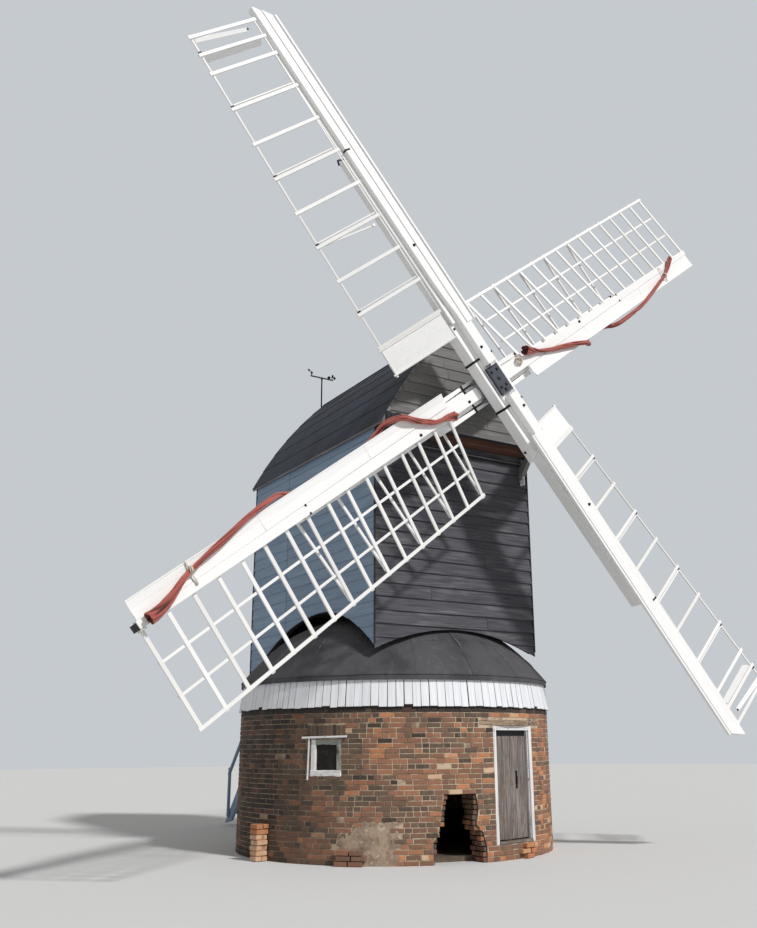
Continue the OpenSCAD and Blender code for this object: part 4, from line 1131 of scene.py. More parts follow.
def addRoofFelt():
    front, long = bodyRoof["front"], bodyRoof["back"] - bodyRoof["front"]
    for sign, side in ((-1, "left"), (1, "right")):
        copies = []
        for i in range(bodyRoof["strips"]):
            u0 = i / bodyRoof["strips"] - 0.004
            u1 = (i + 1) / bodyRoof["strips"] + (0.022 if i < bodyRoof["strips"] - 1 else 0.004)

            def strip(a, b):
                out = bodyRoof["lift"] + bodyRoof["lap"] * (1 - b) + 0.0012 * ripple(a * 9, i * 3 + b, 1.0)
                x, z = roofPoint(u0 + (u1 - u0) * b, out)
                return (sign * max(0.0, x), front + long * a, z)

            made = shapedGrid(14, 5, strip)
            faceOutwards(made)
            if made.data.polygons[30].normal.z < 0:
                made.data.flip_normals()
            solidify(made, bodyRoof["felt"])
            copies.append((takeMesh(made), stay, dice.random()))
        joinCopies("body_felt_" + side, copies, "felt_body", "buck", smooth=30)

    def capping(a, b):  # felt folded over the ridge
        b = (b - 0.5) * 2
        x, z = roofPoint(1 - bodyRoof["capTo"] * abs(b), bodyRoof["capLift"] - 0.004 * abs(b))
        return (math.copysign(max(0.0, x), b) if abs(b) > 0.01 else 0.0, front - 0.004 + (long + 0.008) * a, z)

    made = shapedGrid(14, 6, capping)
    solidify(made, bodyRoof["cap"])
    joinCopies("ridge_cap", [(takeMesh(made), stay, 0.3)], "felt_body", "buck", smooth=40)
    addVerges()


def addVerges():
    # pale curved boards along the gable edges and battens under the eaves
    copies = []
    front, back, steps = bodyRoof["front"], bodyRoof["back"], bodyRoof["steps"]
    for sign in (-1, 1):
        for y in (front + 0.013, back - 0.013):
            for k in range(steps):
                x0, z0 = roofPoint(k / steps - 0.004, -0.024)
                x1, z1 = roofPoint((k + 1) / steps + 0.003, -0.024)
                p, q = (sign * x0, y, z0), (sign * max(x1, 0), y, z1)
                copies.append(beam(p, q, 0.026, bodyRoof["verge"], bevel=0.002, tone=0.15))
        x, z = roofPoint(-0.004, -0.02)
        copies.append(beam((sign * x, front, z), (sign * x, back, z), 0.024, 0.05, bevel=0.003, tone=0.1, cuts=6))
    joinCopies("verge_boards", copies, "gableGrey", "buck")

# Stocks, whips and sails. A sail is drawn along +Y, its leading side towards +X, its front towards +Z

hub = {
    "out": 3.48, "height": 7.664, "tilt": 4.9, "turn": 37.3, "gap": 0.375, "box": 0.5, "neck": 0.165, "neckLong": 0.8,
    "neckAt": -1.09, "collar": 1.25, "plate": (0.30, 0.53, 0.05), "plateAt": -0.055,
    "bolts": ((-0.075, 0.17), (0.075, 0.17), (0, 0.02), (-0.07, -0.13), (0.07, -0.13), (0, -0.2)),
}
stock = {
    "half": 4.55, "width": 0.33, "end": 0.22, "depth": 0.23, "back": -0.31, "clampTo": 1.3, "clamp": 0.09,
    "cheek": 0.036, "longer": 0.103, "housed": 0.252, "slope": 0.09, "band": 0.47,
}
whip = {
    "heel": 0.27, "tip": 7.43, "width": 0.21, "end": 0.12, "packed": 0.15, "front": 0.05, "back": -0.08,
    "bolts": ((0.62, 2.67), (0.62, 1.92), (0.6, 2.62), (3.0,)), "backBolts": (1.75, 3.2, 4.3), "bands": (4.6, 4.45),
}
cloth = {
    "reach": 1.575, "from": 1.148, "to": 7.408, "bars": 16, "heelTwist": 15, "tipTwist": 7.3, "bar": 0.058,
    "barDepth": 0.028, "long": 0.046, "longDepth": 0.024, "nub": 0.045, "lead": 0.35, "leadFrom": 1.10, "edge": 0.024,
    "butts": (3.02, 5.21), "ledges": (1.2, 1.98, 2.9, 3.1, 4.1, 5.12, 5.3, 6.3, 7.3),
}
spring = {
    "reach": 1.54, "from": 1.514, "to": 7.235, "heelTwist": 22, "tipTwist": 5.2, "bar": 0.06, "barDepth": 0.028,
    "long": 0.034, "leadFrom": 1.10, "leadTo": 7.33, "edge": 0.042, "heelFrom": 0.985, "heelTo": 1.482, "near": 0.255,
    "rungs": (7.235, 6.92, 6.586, 5.952, 5.318, 4.684, 4.05, 3.416, 2.782, 2.148, 1.514), "doubles": (3, 5, 7, 9),
    "doubleGap": 0.085, "shutters": ((0, 0.08, 20, 3.5, 0.24), (1, 0.13, 60, 0, 0.12)),
    "ledges": (1.2, 2.2, 3.2, 4.2, 5.2, 6.2, 7.05), "heelNear": 0.285, "edgeTo": 7.19,
    "shutterBar": (5.4, 0.066, 0.034),
    "crank": ((-0.22, 4.50, -0.05), (-0.33, 4.52, -0.06)), "crankEnd": ((-0.33, 4.53, -0.06), (-0.35, 4.44, -0.08)),
}


def onShaft():
    return at(0, -hub["out"], hub["height"]) @ turned("X", 90 - hub["tilt"])


def sailPlace(k):
    return onShaft() @ turned("Z", hub["turn"] + 90 * k) @ at(0, 0, -(k % 2) * hub["gap"])


def twistAt(kind, s):
    share = (s - kind["from"]) / (kind["to"] - kind["from"])
    return kind["heelTwist"] + (kind["tipTwist"] - kind["heelTwist"]) * share


def onSail(kind, w, s, lift=0.0):
    # a point w out from the middle on the driving side, s along, lift before the twisted plane
    t = math.radians(twistAt(kind, s))
    return Vector((-w * math.cos(t) - lift * math.sin(t), s, -w * math.sin(t) + lift * math.cos(t)))


def crossing(kind, s, w0, w1, wide, depth, lift=0.0, **more):
    # a beam across the sail, between two places of its twisted plane
    return beam(onSail(kind, w0, s, lift), onSail(kind, w1, s, lift), wide, depth, **more)


def wound(kind, length, width, depth, w, s0, lift=0.0, cuts=14):
    # a lath or board that follows the sail's twist: modelled straight, then wound along its plane
    mesh = timber(length, width, depth, bevel=0.003, cuts=cuts).copy()
    for v in mesh.vertices:
        v.co = onSail(kind, w + v.co.y, s0 + v.co.x, lift + v.co.z)
    return mesh


def rung(kind, s, w0, w1, width, depth, lift=0.0):
    # a bar across the sail, flat in its twisted plane
    place = at(0, s, 0) @ turned("Y", -twistAt(kind, s)) @ at(-w0, 0, lift) @ turned("Z", 180)
    return (timber(w1 - w0, width, depth), place, None)


def whipHalf(s):
    return (whip["width"] + (whip["end"] - whip["width"]) * (s - whip["heel"]) / (whip["tip"] - whip["heel"])) / 2


def stockHalf(s):
    past = max(0, s - stock["clampTo"]) / (stock["half"] - stock["clampTo"])
    return stock["width"] / 2 * (1 + (stock["end"] / stock["width"] - 1) * past)


def stockMesh():
    mesh = timber(2 * stock["half"], stock["width"], stock["depth"], bevel=0.014, cuts=13).copy()
    mesh.transform(turned("Z", 90) @ at(-stock["half"], 0, 0))
    for v in mesh.vertices:
        v.co.x *= 2 * stockHalf(abs(v.co.y)) / stock["width"]
        v.co.z += stock["back"] + stock["depth"] / 2
    return mesh


def clampMesh():
    # a timber along the stock's side, housed over the shaft's box, both ends cut to a slope
    made = cube((0.5, 0, 0))
    size = (stock["clamp"], 2 * stock["clampTo"], stock["depth"] - 0.01)
    bpy.ops.transform.resize(value=size, center_override=(0, 0, 0))
    for y in (-stock["housed"], stock["housed"]):
        bpy.ops.mesh.select_all(action="SELECT")
        bpy.ops.mesh.bisect(plane_co=(0, y, 0), plane_no=(0, 1, 0))
    pick(made, lambda v: v.co.x < 0.001 and abs(v.co.y) < stock["housed"] + 0.008, "verts")
    shift(stock["cheek"], 0, 0)
    for end in (-1, 1):
        pick(made, lambda v: v.co.y * end > stock["clampTo"] - 0.001 and v.co.z > 0.02, "verts")
        shift(0, -stock["slope"] * end, 0)
    bpy.ops.mesh.select_all(action="SELECT")
    bpy.ops.mesh.bevel(offset=0.006, segments=2, affect="EDGES")
    return takeMesh(made)


@modelledOnce
def bolt(size):
    # square nut on a square washer, standing on z = 0
    made = cube((0, 0, 0.003), (size * 1.5, size * 1.5, 0.006))
    pick(made, lambda f: f.normal.z > 0.9)
    for rim, height in ((0.25, 0.018), (0.22, 0.01)):
        bpy.ops.mesh.inset(thickness=size * rim)
        extrude(height)
    return takeMesh(made)


def band(s, left, right, front, back, wide, gap, thick=0.008):
    # a flat iron band round a timber; gap is the half width of what stands on its front
    rows = [(left - thick, right + thick, back - thick / 2)]
    for p, q in ((left - thick, -gap), (gap, right + thick)) if gap else ((left - thick, right + thick),):
        rows.append((p, q, front + thick / 2))
    bars = [beam((p, s, z), (q, s, z), wide, thick, bevel=0.002) for p, q, z in rows]
    for x in (left - thick / 2, right + thick / 2):
        bars.append(beam((x, s, back - thick), (x, s, front + thick), wide, thick, bevel=0.002))
    return bars


def addStocks():
    copies, iron = [], []
    one, clamp = stockMesh(), clampMesh()
    middle = stock["back"] + stock["depth"] / 2
    edge = stock["width"] / 2 + stock["clamp"]
    for k in (0, 1):
        place = sailPlace(k)
        copies.append((one, place, 0.25))
        for turn in (0, 180):
            # the clamp on the outer stock's driving side is longer at its lower end
            more = stock["longer"] if k == 0 and turn == 180 else 0
            longer = Matrix.Diagonal((1, 1 + more / stock["clampTo"], 1, 1))
            copies.append((clamp, place @ turned("Z", turn) @ at(stock["width"] / 2, more, middle) @ longer, 0.2))
        for y in (-1, 1):
            iron.append((bolt(0.026), place @ at(y * -(edge - 0.045), y * 1.12, whip["back"] - 0.01), 0.5))
            s = stock["band"]
            iron += placed(place, band(y * s, -edge, edge, whip["back"], stock["back"], 0.04, whipHalf(s)))
    iron.append((bolt(0.026), sailPlace(0) @ at(-edge, -1.29, -0.243) @ turned("Y", -90), 0.5))
    joinCopies("stock_timbers", copies, "sailWhite", "sails", ["stocks"])
    joinCopies("stock_irons", iron, "black_iron", "sails")


def noseCut(x):
    # the tips of the spring sails are cut to a slope: how far the end lies back at a place across
    return 0.85 * max(0, x + 0.115)


def whipMesh(wide):
    # long tapered timber with a rounded heel; that of a spring sail is packed out on its driving side
    depth = whip["front"] - whip["back"]
    long = whip["tip"] - whip["heel"]
    mesh = timber(long, whip["width"], depth, bevel=0.008, end=(whip["end"], depth), cuts=20).copy()
    mesh.transform(along(0, whip["heel"], (whip["front"] + whip["back"]) / 2))
    for v in mesh.vertices:
        if v.co.y < whip["heel"] + 0.02:
            v.co.y += 0.04 * (v.co.x / 0.1) ** 2
        if wide and v.co.x < 0:
            v.co.x -= (whip["packed"] - whipHalf(v.co.y)) * min(1, max(0, v.co.y - 1.3) / 0.5)
        if wide and v.co.y > whip["tip"] - 0.02:
            v.co.y -= noseCut(v.co.x)
    return mesh


def addWhips():
    copies, iron = [], []
    front, back = whip["front"], whip["back"]
    shapes = whipMesh(True), whipMesh(False)
    for k, bolts in enumerate(whip["bolts"]):
        place = sailPlace(k)
        copies.append((shapes[k % 2], place, 0.1))
        iron += [(bolt(0.03), place @ at(-0.04, s, front), 0.5) for s in bolts]
        s = whip["bands"][k % 2]
        left = whipHalf(s) if k % 2 else whip["packed"]
        iron += placed(place, band(s, -left, whipHalf(s), front, back, 0.03, 0.05))
        if k == 1:  # iron cap over the end of the whip
            iron.append((timber(0.09, 0.1, 0.1), place @ along(-0.01, whip["tip"] - 0.03, -0.015), 0.5))
        if s < stock["half"]:
            iron += placed(place, band(s, -stockHalf(s), stockHalf(s), back, stock["back"], 0.035, None))
        # bolt ends at the stock's back
        iron += [(bolt(0.03), place @ at(0, s, stock["back"]) @ turned("Y", 180), 0.5) for s in whip["backBolts"]]
    joinCopies("whip_timbers", copies, "sailWhite", "sails", ["whips"])
    joinCopies("whip_irons", iron, "black_iron", "sails")


def addSprings():
    reach, start, near = spring["reach"], spring["from"], spring["near"]
    length = spring["to"] - start + 0.046
    for k, which in ((0, "high"), (2, "low")):
        copies, iron = [], []
        for i, s in enumerate(spring["rungs"]):
            copies.append(rung(spring, s, 0.05, reach + 0.012, spring["bar"], spring["barDepth"], 0.012))
            if i in spring["doubles"]:
                copies.append(rung(spring, s + spring["doubleGap"] - 0.02, 0.2, reach - 0.04, 0.026, 0.024, -0.004))
            if i in spring["doubles"] or i == 1:
                iron.append(rung(spring, s + 0.045, reach - 0.075, reach - 0.015, 0.03, 0.026, 0.006))
        if k == 0:  # a rod across the lattice, with a block at its end
            p, q = onSail(spring, reach - 0.03, 3.416), onSail(spring, 0.42, 3.30, -0.005)
            copies.append(beam(p, q, 0.03, 0.02, bevel=0.002))
            copies.append(crossing(spring, 3.30, 0.40, 0.45, 0.05, 0.045))
        outer = wound(spring, length, spring["long"], spring["barDepth"] - 0.004, reach - 0.045, start, -0.006)
        inner = wound(spring, length, 0.024, 0.02, near, start, 0.01)
        for v in inner.vertices:  # it closes up to the whip towards the tip
            v.co.x += 0.045 * max(0, v.co.y - 4.5) / 2.7
        copies += [(outer, stay, None), (inner, stay, None)]
        # the shutter bar beside the whip
        copies.append((timber(*spring["shutterBar"]), along(-whip["packed"] - 0.036, 1.2, -0.045), 0.1))
        for i, high, tilt, drop, short in spring["shutters"]:
            s = spring["rungs"][i] - spring["bar"] / 2 + 0.012
            mesh = timber(reach - near - short, high, 0.012, bevel=0.002, end=(high * 0.8, 0.012))
            turn = at(0, s, 0) @ turned("Y", -twistAt(spring, s)) @ at(-reach + 0.09, 0, 0) @ turned("Z", -drop)
            copies.append((mesh, turn @ turned("X", tilt) @ at(0, -high / 2, 0.006), 0.0))
        iron.append(rung(spring, 7.12, 0.40, 0.43, 0.04, 0.02))
        if k == 0:  # the crank of the shutter rod by the stock's end
            iron += [beam(*spring[part], 0.03, 0.02, bevel=0.003) for part in ("crank", "crankEnd")]
        place = sailPlace(k)
        joinCopies("spring_lattice_" + which, placed(place, copies), "sailWhite", "sails", ["spring_frame_" + which])
        joinCopies("spring_irons_" + which, placed(place, iron), "black_iron", "sails")


def addCloths():
    start, depth, nub = cloth["from"], cloth["barDepth"], cloth["nub"]
    step = (cloth["to"] - start) / (cloth["bars"] - 1)
    length = cloth["to"] - start + 0.092
    lift = (depth + cloth["longDepth"]) / 2 - 0.006
    outer = cloth["reach"] - nub
    for k, which in ((1, "low"), (3, "high")):
        copies = []
        for i in range(cloth["bars"]):
            s = start + step * i
            copies.append(rung(cloth, s, 0.05, cloth["reach"] + dice.uniform(-0.008, 0.008), cloth["bar"], depth))
            if i % 2 == 0 and s < stock["half"]:  # backstay from behind the stock to the end of the bar
                p = (-stockHalf(s) * 0.6, s + 0.01, stock["back"] - 0.018)
                copies.append(beam(p, onSail(cloth, cloth["reach"] - 0.09, s, -0.034), 0.042, 0.03, bevel=0.003))
        # the inner laths lie behind the bars, the outer one before them
        for w, wider, side in ((outer / 3 + nub, -0.006, -1), (outer * 2 / 3 + nub / 2, -0.006, -1), (outer, 0.008, 1)):
            wide = cloth["long"] + wider
            lath = wound(cloth, length, wide, cloth["longDepth"], w, start - 0.046, side * lift)
            copies.append((lath, stay, None))
        copies = placed(sailPlace(k), copies)
        joinCopies("cloth_lattice_" + which, copies, "sailWhite", "sails", ["cloth_frame_" + which])


def clothBoards():
    # three lengths of leading board, butted, with a batten along the edge and ledges behind
    start, lead, parts = cloth["leadFrom"], cloth["lead"], []
    stops = (start, *cloth["butts"], cloth["to"])
    for s0, s1 in zip(stops, stops[1:]):
        board = wound(cloth, s1 - s0 - 0.003, 0.226, 0.018, -0.217, s0, 0.006, cuts=8)
        for v in board.vertices:
            if v.co.x < 0.2:  # the inner edge runs close along the tapering whip
                v.co.x = whipHalf(v.co.y) + 0.003
        parts.append((board, stay, 0.05))
    parts.append((wound(cloth, cloth["to"] - start, cloth["edge"], 0.032, -(lead - 0.012), start, 0.004), stay, None))
    return parts + [crossing(cloth, s, -0.09, -lead + 0.03, 0.05, 0.026, -0.018) for s in cloth["ledges"]]


def springBoards():
    # a board on the whip with its edge batten and ledges, and the heel board with battens at its edges
    start, front = spring["leadFrom"], whip["front"]
    board = timber(spring["leadTo"] - start, 0.152, 0.018, bevel=0.003, cuts=10).copy()
    board.transform(along(0.08, start, front + 0.009))
    for v in board.vertices:
        if v.co.y > spring["leadTo"] - 0.02:
            v.co.y = whip["tip"] - noseCut(v.co.x)
    edge = timber(spring["edgeTo"] - start, spring["edge"], 0.05, bevel=0.003, cuts=10)
    parts = [(board, stay, 0.05), (edge, along(0.206, start, front + 0.004), 0.0)]
    parts += [beam((0.06, s, 0.03), (0.2, s, 0.03), 0.05, 0.03) for s in spring["ledges"]]
    s0, s1, near, far = (spring[k] for k in ("heelFrom", "heelTo", "heelNear", "reach"))
    parts.append((wound(spring, s1 - s0, far - near, 0.016, (near + far) / 2, s0, cuts=4), stay, 0.05))
    for s in (s0 + 0.018, s1 - 0.012):
        parts.append(crossing(spring, s, near, far + 0.03, 0.03, 0.022, 0.014))
    p, q = (onSail(spring, far - 0.02, s, -0.004) for s in (s0 - 0.03, s1))
    return [*parts, beam(p, q, 0.03, 0.034)]


def addSailBoards():
    copies = []
    for k in range(4):
        copies += placed(sailPlace(k), clothBoards() if k % 2 else springBoards())
    joinCopies("sail_boarding", copies, "sailWhite", "sails", ["sail_boards"])


def addPoll():
    # the shaft's cast box: a shell of cheeks round both stocks, its neck, and the bolted cover plate
    cheek, half, back = stock["cheek"], stock["width"] / 2, stock["back"]
    box, plates = hub["box"], []
    for k, low, high in ((0, back - 0.01, back + stock["depth"]), (1, back - cheek, back + hub["gap"])):
        for x in (-1, 1):
            place = sailPlace(k) @ along(x * (half + cheek / 2), -box / 2, (low + high) / 2)
            plates.append((timber(box, cheek, high - low, bevel=0.006), place, 0.3))
    behind = onShaft() @ turned("Z", hub["turn"] + 90) @ along(0, -box / 2, back - hub["gap"] - cheek / 2)
    plates.append((timber(box, 2 * (half + cheek), cheek, bevel=0.006), behind, 0.3))
    for y in (-1, 1):  # webs between the two mortices
        plates.append((timber(2 * half, 0.05, 0.14, bevel=0.006), sailPlace(0) @ at(-half, y * 0.2, back - 0.075), 0.3))
    neck = cylinder(64, hub["neck"], hub["neckLong"], hub["neckAt"])
    pick(neck, lambda f: f.normal.z > 0.9)
    bpy.ops.mesh.inset(thickness=0.001)
    extrude(0.03)
    bpy.ops.transform.resize(value=(hub["collar"], hub["collar"], 1), center_override=(0, 0, 0))
    bpy.ops.mesh.select_all(action="SELECT")
    bpy.ops.mesh.normals_make_consistent(inside=False)
    plates.append((takeMesh(neck), onShaft(), 0.5))
    joinCopies("poll_box", plates, "grey_iron", "sails", ["poll_end"], smooth=30)
    made = cube((0, 0, hub["plateAt"]), hub["plate"])
    pick(made, lambda f: f.normal.z > 0.9)
    bpy.ops.mesh.inset(thickness=0.028)
    shift(0, 0, -0.006)
    bpy.ops.mesh.select_all(action="SELECT")
    bpy.ops.mesh.bevel(offset=0.004, segments=1, affect="EDGES")
    copies = [(takeMesh(made), sailPlace(0), 0.4)]
    copies += [(bolt(0.04 if x else 0.052), sailPlace(0) @ at(x, y, -0.037), 0.5) for x, y in hub["bolts"]]
    joinCopies("poll_plate", copies, "plate_iron", "sails")


# Furled cloths: each sheet is gathered into deep folds and wound along the leading side of its sail

furled = {
    "low": {"k": 1, "flat": (0.95, 6.9), "path": (
        (-0.10, 1.12, 0.125), (-0.05, 1.28, 0.115), (0, 1.55, 0.11), (0.10, 1.75, 0.112), (0.20, 1.92, 0.135),
        (0.34, 2.12, 0.175), (0.405, 2.28, 0.12), (0.415, 2.42, 0.0), (0.36, 2.56, -0.09), (0.30, 2.85, -0.13),
        (0.28, 3.6, -0.13), (0.30, 4.35, -0.13), (0.345, 4.52, -0.09), (0.40, 4.68, -0.03), (0.408, 4.84, 0.06),
        (0.395, 5.12, 0.115), (0.36, 5.45, 0.12), (0.27, 6.05, 0.11), (0.215, 6.42, 0.10), (0.17, 6.62, 0.10),
        (0.07, 6.88, 0.11), (0.01, 7.12, 0.115), (-0.005, 7.30, 0.12)),
        "thin": ((0, 0.088), (0.02, 0.070), (0.045, 0.038), (0.10, 0.05), (0.16, 0.052), (0.5, 0.045), (0.62, 0.046),
                 (0.78, 0.048), (0.855, 0.038), (0.868, 0.03), (0.885, 0.04), (0.94, 0.066), (0.98, 0.085),
                 (1, 0.098))},
    "high": {"k": 3, "flat": (0.9, 6.1), "path": (
        (-0.16, 1.16, 0.125), (-0.10, 1.30, 0.115), (0.0, 1.52, 0.11), (0.09, 1.80, 0.112), (0.17, 2.1, 0.125),
        (0.26, 2.42, 0.155), (0.36, 2.68, 0.175), (0.41, 2.82, 0.10), (0.41, 2.94, -0.02), (0.34, 3.08, -0.10),
        (0.28, 3.4, -0.13), (0.33, 3.74, -0.10), (0.41, 3.9, -0.01), (0.43, 4.06, 0.09), (0.42, 4.5, 0.13),
        (0.40, 4.9, 0.125), (0.33, 5.4, 0.12), (0.24, 5.85, 0.11), (0.17, 6.20, 0.10), (0.09, 6.42, 0.10),
        (-0.01, 6.58, 0.11), (-0.08, 6.70, 0.12)),
        "thin": ((0, 0.105), (0.025, 0.08), (0.06, 0.036), (0.10, 0.045), (0.2, 0.05), (0.4, 0.045),
                 (0.6, 0.046), (0.85, 0.042), (0.895, 0.032), (0.93, 0.04), (0.97, 0.054), (1, 0.056))},
}
folds = {
    "along": 200, "inner": 28, "outer": 68, "turns": 4, "core": 0.3, "count": 4, "depth": 0.5, "thickness": 0.0018,
    "twist": 2.2,
}


def smoothLine(points, count):
    # points evenly spaced along a smooth curve through the given ones, and its length
    fine = []
    for i in range(len(points) - 1):
        a, b, c, d = (Vector(points[min(max(j, 0), len(points) - 1)]) for j in (i - 1, i, i + 1, i + 2))
        for t in (j / 16 for j in range(16)):
            bend = (2 * a - 5 * b + 4 * c - d) * t ** 2 + (3 * b - a - 3 * c + d) * t ** 3
            fine.append(0.5 * (2 * b + (c - a) * t + bend))
    fine.append(Vector(points[-1]))
    far = [0.0]
    for p, q in zip(fine, fine[1:]):
        far.append(far[-1] + (q - p).length)
    line, j = [], 0
    for i in range(count):
        want = far[-1] * i / (count - 1)
        while j < len(far) - 2 and far[j + 1] < want:
            j += 1
        line.append(fine[j].lerp(fine[j + 1], (want - far[j]) / (far[j + 1] - far[j])))
    return line, far[-1]


def alongStops(stops, t):
    for (a, x), (b, y) in zip(stops, stops[1:]):
        if t <= b:
            return x + (y - x) * (t - a) / (b - a)
    return stops[-1][1]


def foldAt(a, t, seed):
    # how far the cloth stands out at an angle of the roll: deep creases between rounded ridges
    c, s = math.cos(a), math.sin(a)
    wob = ripple(c * 1.4, s * 1.4, t * 12 + seed)
    crease = math.cos(folds["count"] * a + 3.4 * wob + 5 * ripple(t * 9, seed, c * 0.3))
    dip = abs(crease) ** 1.3 if crease < 0 else 0.0
    strength = min(1.25, max(0.1, 0.7 + 1.3 * ripple(c * 0.9, s * 0.9, t * 17 + seed)))
    return 1 - folds["depth"] * dip * strength + 0.16 * wob


def addFurled(which):
    look = furled[which]
    line, length = smoothLine(look["path"], folds["along"])
    place = sailPlace(look["k"])
    seed = 3.0 * look["k"]
    turns = folds["turns"] - 1
    angles = [2 * math.pi * j / folds["inner"] for j in range(folds["inner"] * turns)]
    angles += [2 * math.pi * (turns + j / folds["outer"]) for j in range(folds["outer"] + 1)]
    across = len(angles)
    points, grain, tone = [], [], []
    side = Vector((0, 0, 1))
    for i, p in enumerate(line):
        t = i / (folds["along"] - 1)
        way = (line[min(i + 1, len(line) - 1)] - line[max(i - 1, 0)]).normalized()
        side = (side - way * side.dot(way)).normalized()
        other = way.cross(side)
        radius = alongStops(look["thin"], t)
        spin = 2 * math.pi * folds["twist"] * t
        for a in angles:
            layer = a / angles[-1]
            fold = foldAt(a, t, seed)
            r = radius * fold * (folds["core"] + (1 - folds["core"]) * layer)
            points.append(place @ (p + side * math.cos(a + spin) * r + other * math.sin(a + spin) * r))
            grain.extend((layer * look["flat"][0], t * look["flat"][1], seed))
            # painted shade: creases and the inner turns of the roll are darker, the outer ridges lighter
            ridge = min(1.0, max(0.0, (fold - 1 + folds["depth"]) / folds["depth"]))
            tone.append(ridge * (1 if layer > 0.7 else 0.3))
    loops = [[k, k + 1, k + 1 + across, k + across]
             for i in range(folds["along"] - 1) for k in range(i * across, (i + 1) * across - 1)]
    made = newPiece("furled_cloth_" + which, points, loops, grain, tone=tone)
    solidify(made, folds["thickness"])
    bpy.ops.object.shade_smooth_by_angle(angle=math.radians(50))
    settle(made, "sail_cloth", "sails", ["furled_cloths"])
    print(which, "cloth", round(length, 2))

# Door, window, ladder, ropes and the weather mast

door = {
    "az": 13.4, "half": 0.495, "front": -2.7051, "back": -2.5951, "foot": 0.23, "head": 2.008, "bar": 0.072,
    "sill": 0.04, "leafHalf": 0.415, "leafFoot": 0.278, "leafHead": 1.93, "leafFront": -2.6371, "shade": 0.085,
    "planks": (0.196, 0.205, 0.216, 0.204), "tones": (0.75, 0.5, 0.15, 0.6), "seam": 0.0015, "ledge": 0.12,
    "ledges": (0.18, 0.826, 1.47), "latch": (0.1425, 1.176, 0.036, 0.27), "hinge": (-0.419, -2.5791, 0.06, 0.014),
    "nails": (0.06, 0.5, 1.1, 1.5), "nailsAcross": (-0.36, -0.27, -0.14, -0.06, 0.06, 0.16, 0.27, 0.36),
}


@modelledOnce
def rod(radius, length, sides=16):
    # round bar along +Z from the origin, with eased ends
    made = cylinder(sides, radius, length, length / 2)
    pick(made, lambda f: abs(f.normal.z) > 0.9)
    bpy.ops.mesh.bevel(offset=radius * 0.2, segments=1, affect="EDGES")
    return takeMesh(made)


def addDoor():
    there = turned("Z", door["az"])
    half, bar, foot = (door[k] for k in ("half", "bar", "foot"))
    leaf, leafFoot, front = (door[k] for k in ("leafHalf", "leafFoot", "leafFront"))
    deep = door["back"] - door["front"]
    middle = (door["back"] + door["front"]) / 2
    tall = door["head"] - foot
    inside = 2 * (half - bar)
    copies = [(timber(tall, bar, deep, bevel=0.005, cuts=6), upright(x * (half - bar / 2), middle, foot), 0.15)
              for x in (-1, 1)]
    copies.append((timber(inside, deep, bar, bevel=0.005), at(-inside / 2, middle, door["head"] - bar / 2), 0.1))
    for x in (-1, 1):  # stops the leaf closes on
        place = upright(x * (half - bar - 0.0005), front - 0.022, foot + 0.04)
        copies.append((timber(tall - 0.08, 0.02, 0.03, bevel=0.003), place, 0.5))
    joinCopies("door_frame_timbers", placed(there, copies), "frameWhite", "roundhouse", ["door_frame"])
    sill = timber(inside, deep + 0.02, door["sill"], bevel=0.008, cuts=6)
    place = there @ at(-inside / 2, middle - 0.01, foot + door["sill"] / 2)
    joinCopies("door_sill", [(sill, place, 0.8)], "silverPlank", "roundhouse")
    # the leaf: planks with split feet, a black board over their heads that paints the shade under the frame's head,
    # ledges behind
    copies, x = [], -leaf + door["seam"]
    top = door["leafHead"] - door["shade"]
    for i, wide in enumerate(door["planks"]):
        low = leafFoot + dice.uniform(0, 0.012)
        plank = timber(top - low, wide - 0.004, 0.03, bevel=0.003, cuts=5).copy()
        for v in plank.vertices:
            if v.co.x < 0.02:
                v.co.x += 0.014 * max(0, ripple(v.co.y * 30, i, 2.0))
            v.co.z += 0.0015 * math.sin(v.co.x * 3 + i)
        place = upright(x + wide / 2, front + 0.0165 + dice.uniform(0, 0.003), low)
        copies.append((plank, place, door["tones"][i]))
        x += wide + door["seam"]
    joinCopies("door_planks", placed(there, copies), "silverPlank", "roundhouse_door", ["door_leaf"])
    wide = 2 * leaf - 0.006
    head = timber(wide, 0.026, door["shade"] - 0.004, bevel=0.003)
    place = there @ at(-wide / 2, front + 0.026, top + door["shade"] / 2)
    joinCopies("door_head_shade_board", [(head, place, 0.9)], "blackBoards", "roundhouse_door")
    ledge = timber(2 * leaf - 0.18, 0.02, door["ledge"], bevel=0.006)
    copies = [(ledge, at(-leaf + 0.126, door["back"] + 0.011, leafFoot + z), 0.6) for z in door["ledges"]]
    lining = timber(wide, 0.01, top - leafFoot, bevel=0.002)
    copies.append((lining, at(-wide / 2, door["back"] - 0.006, (top + leafFoot) / 2), 0.9))
    joinCopies("door_ledges", placed(there, copies), "oldOak", "roundhouse_door")
    addDoorIrons(there)


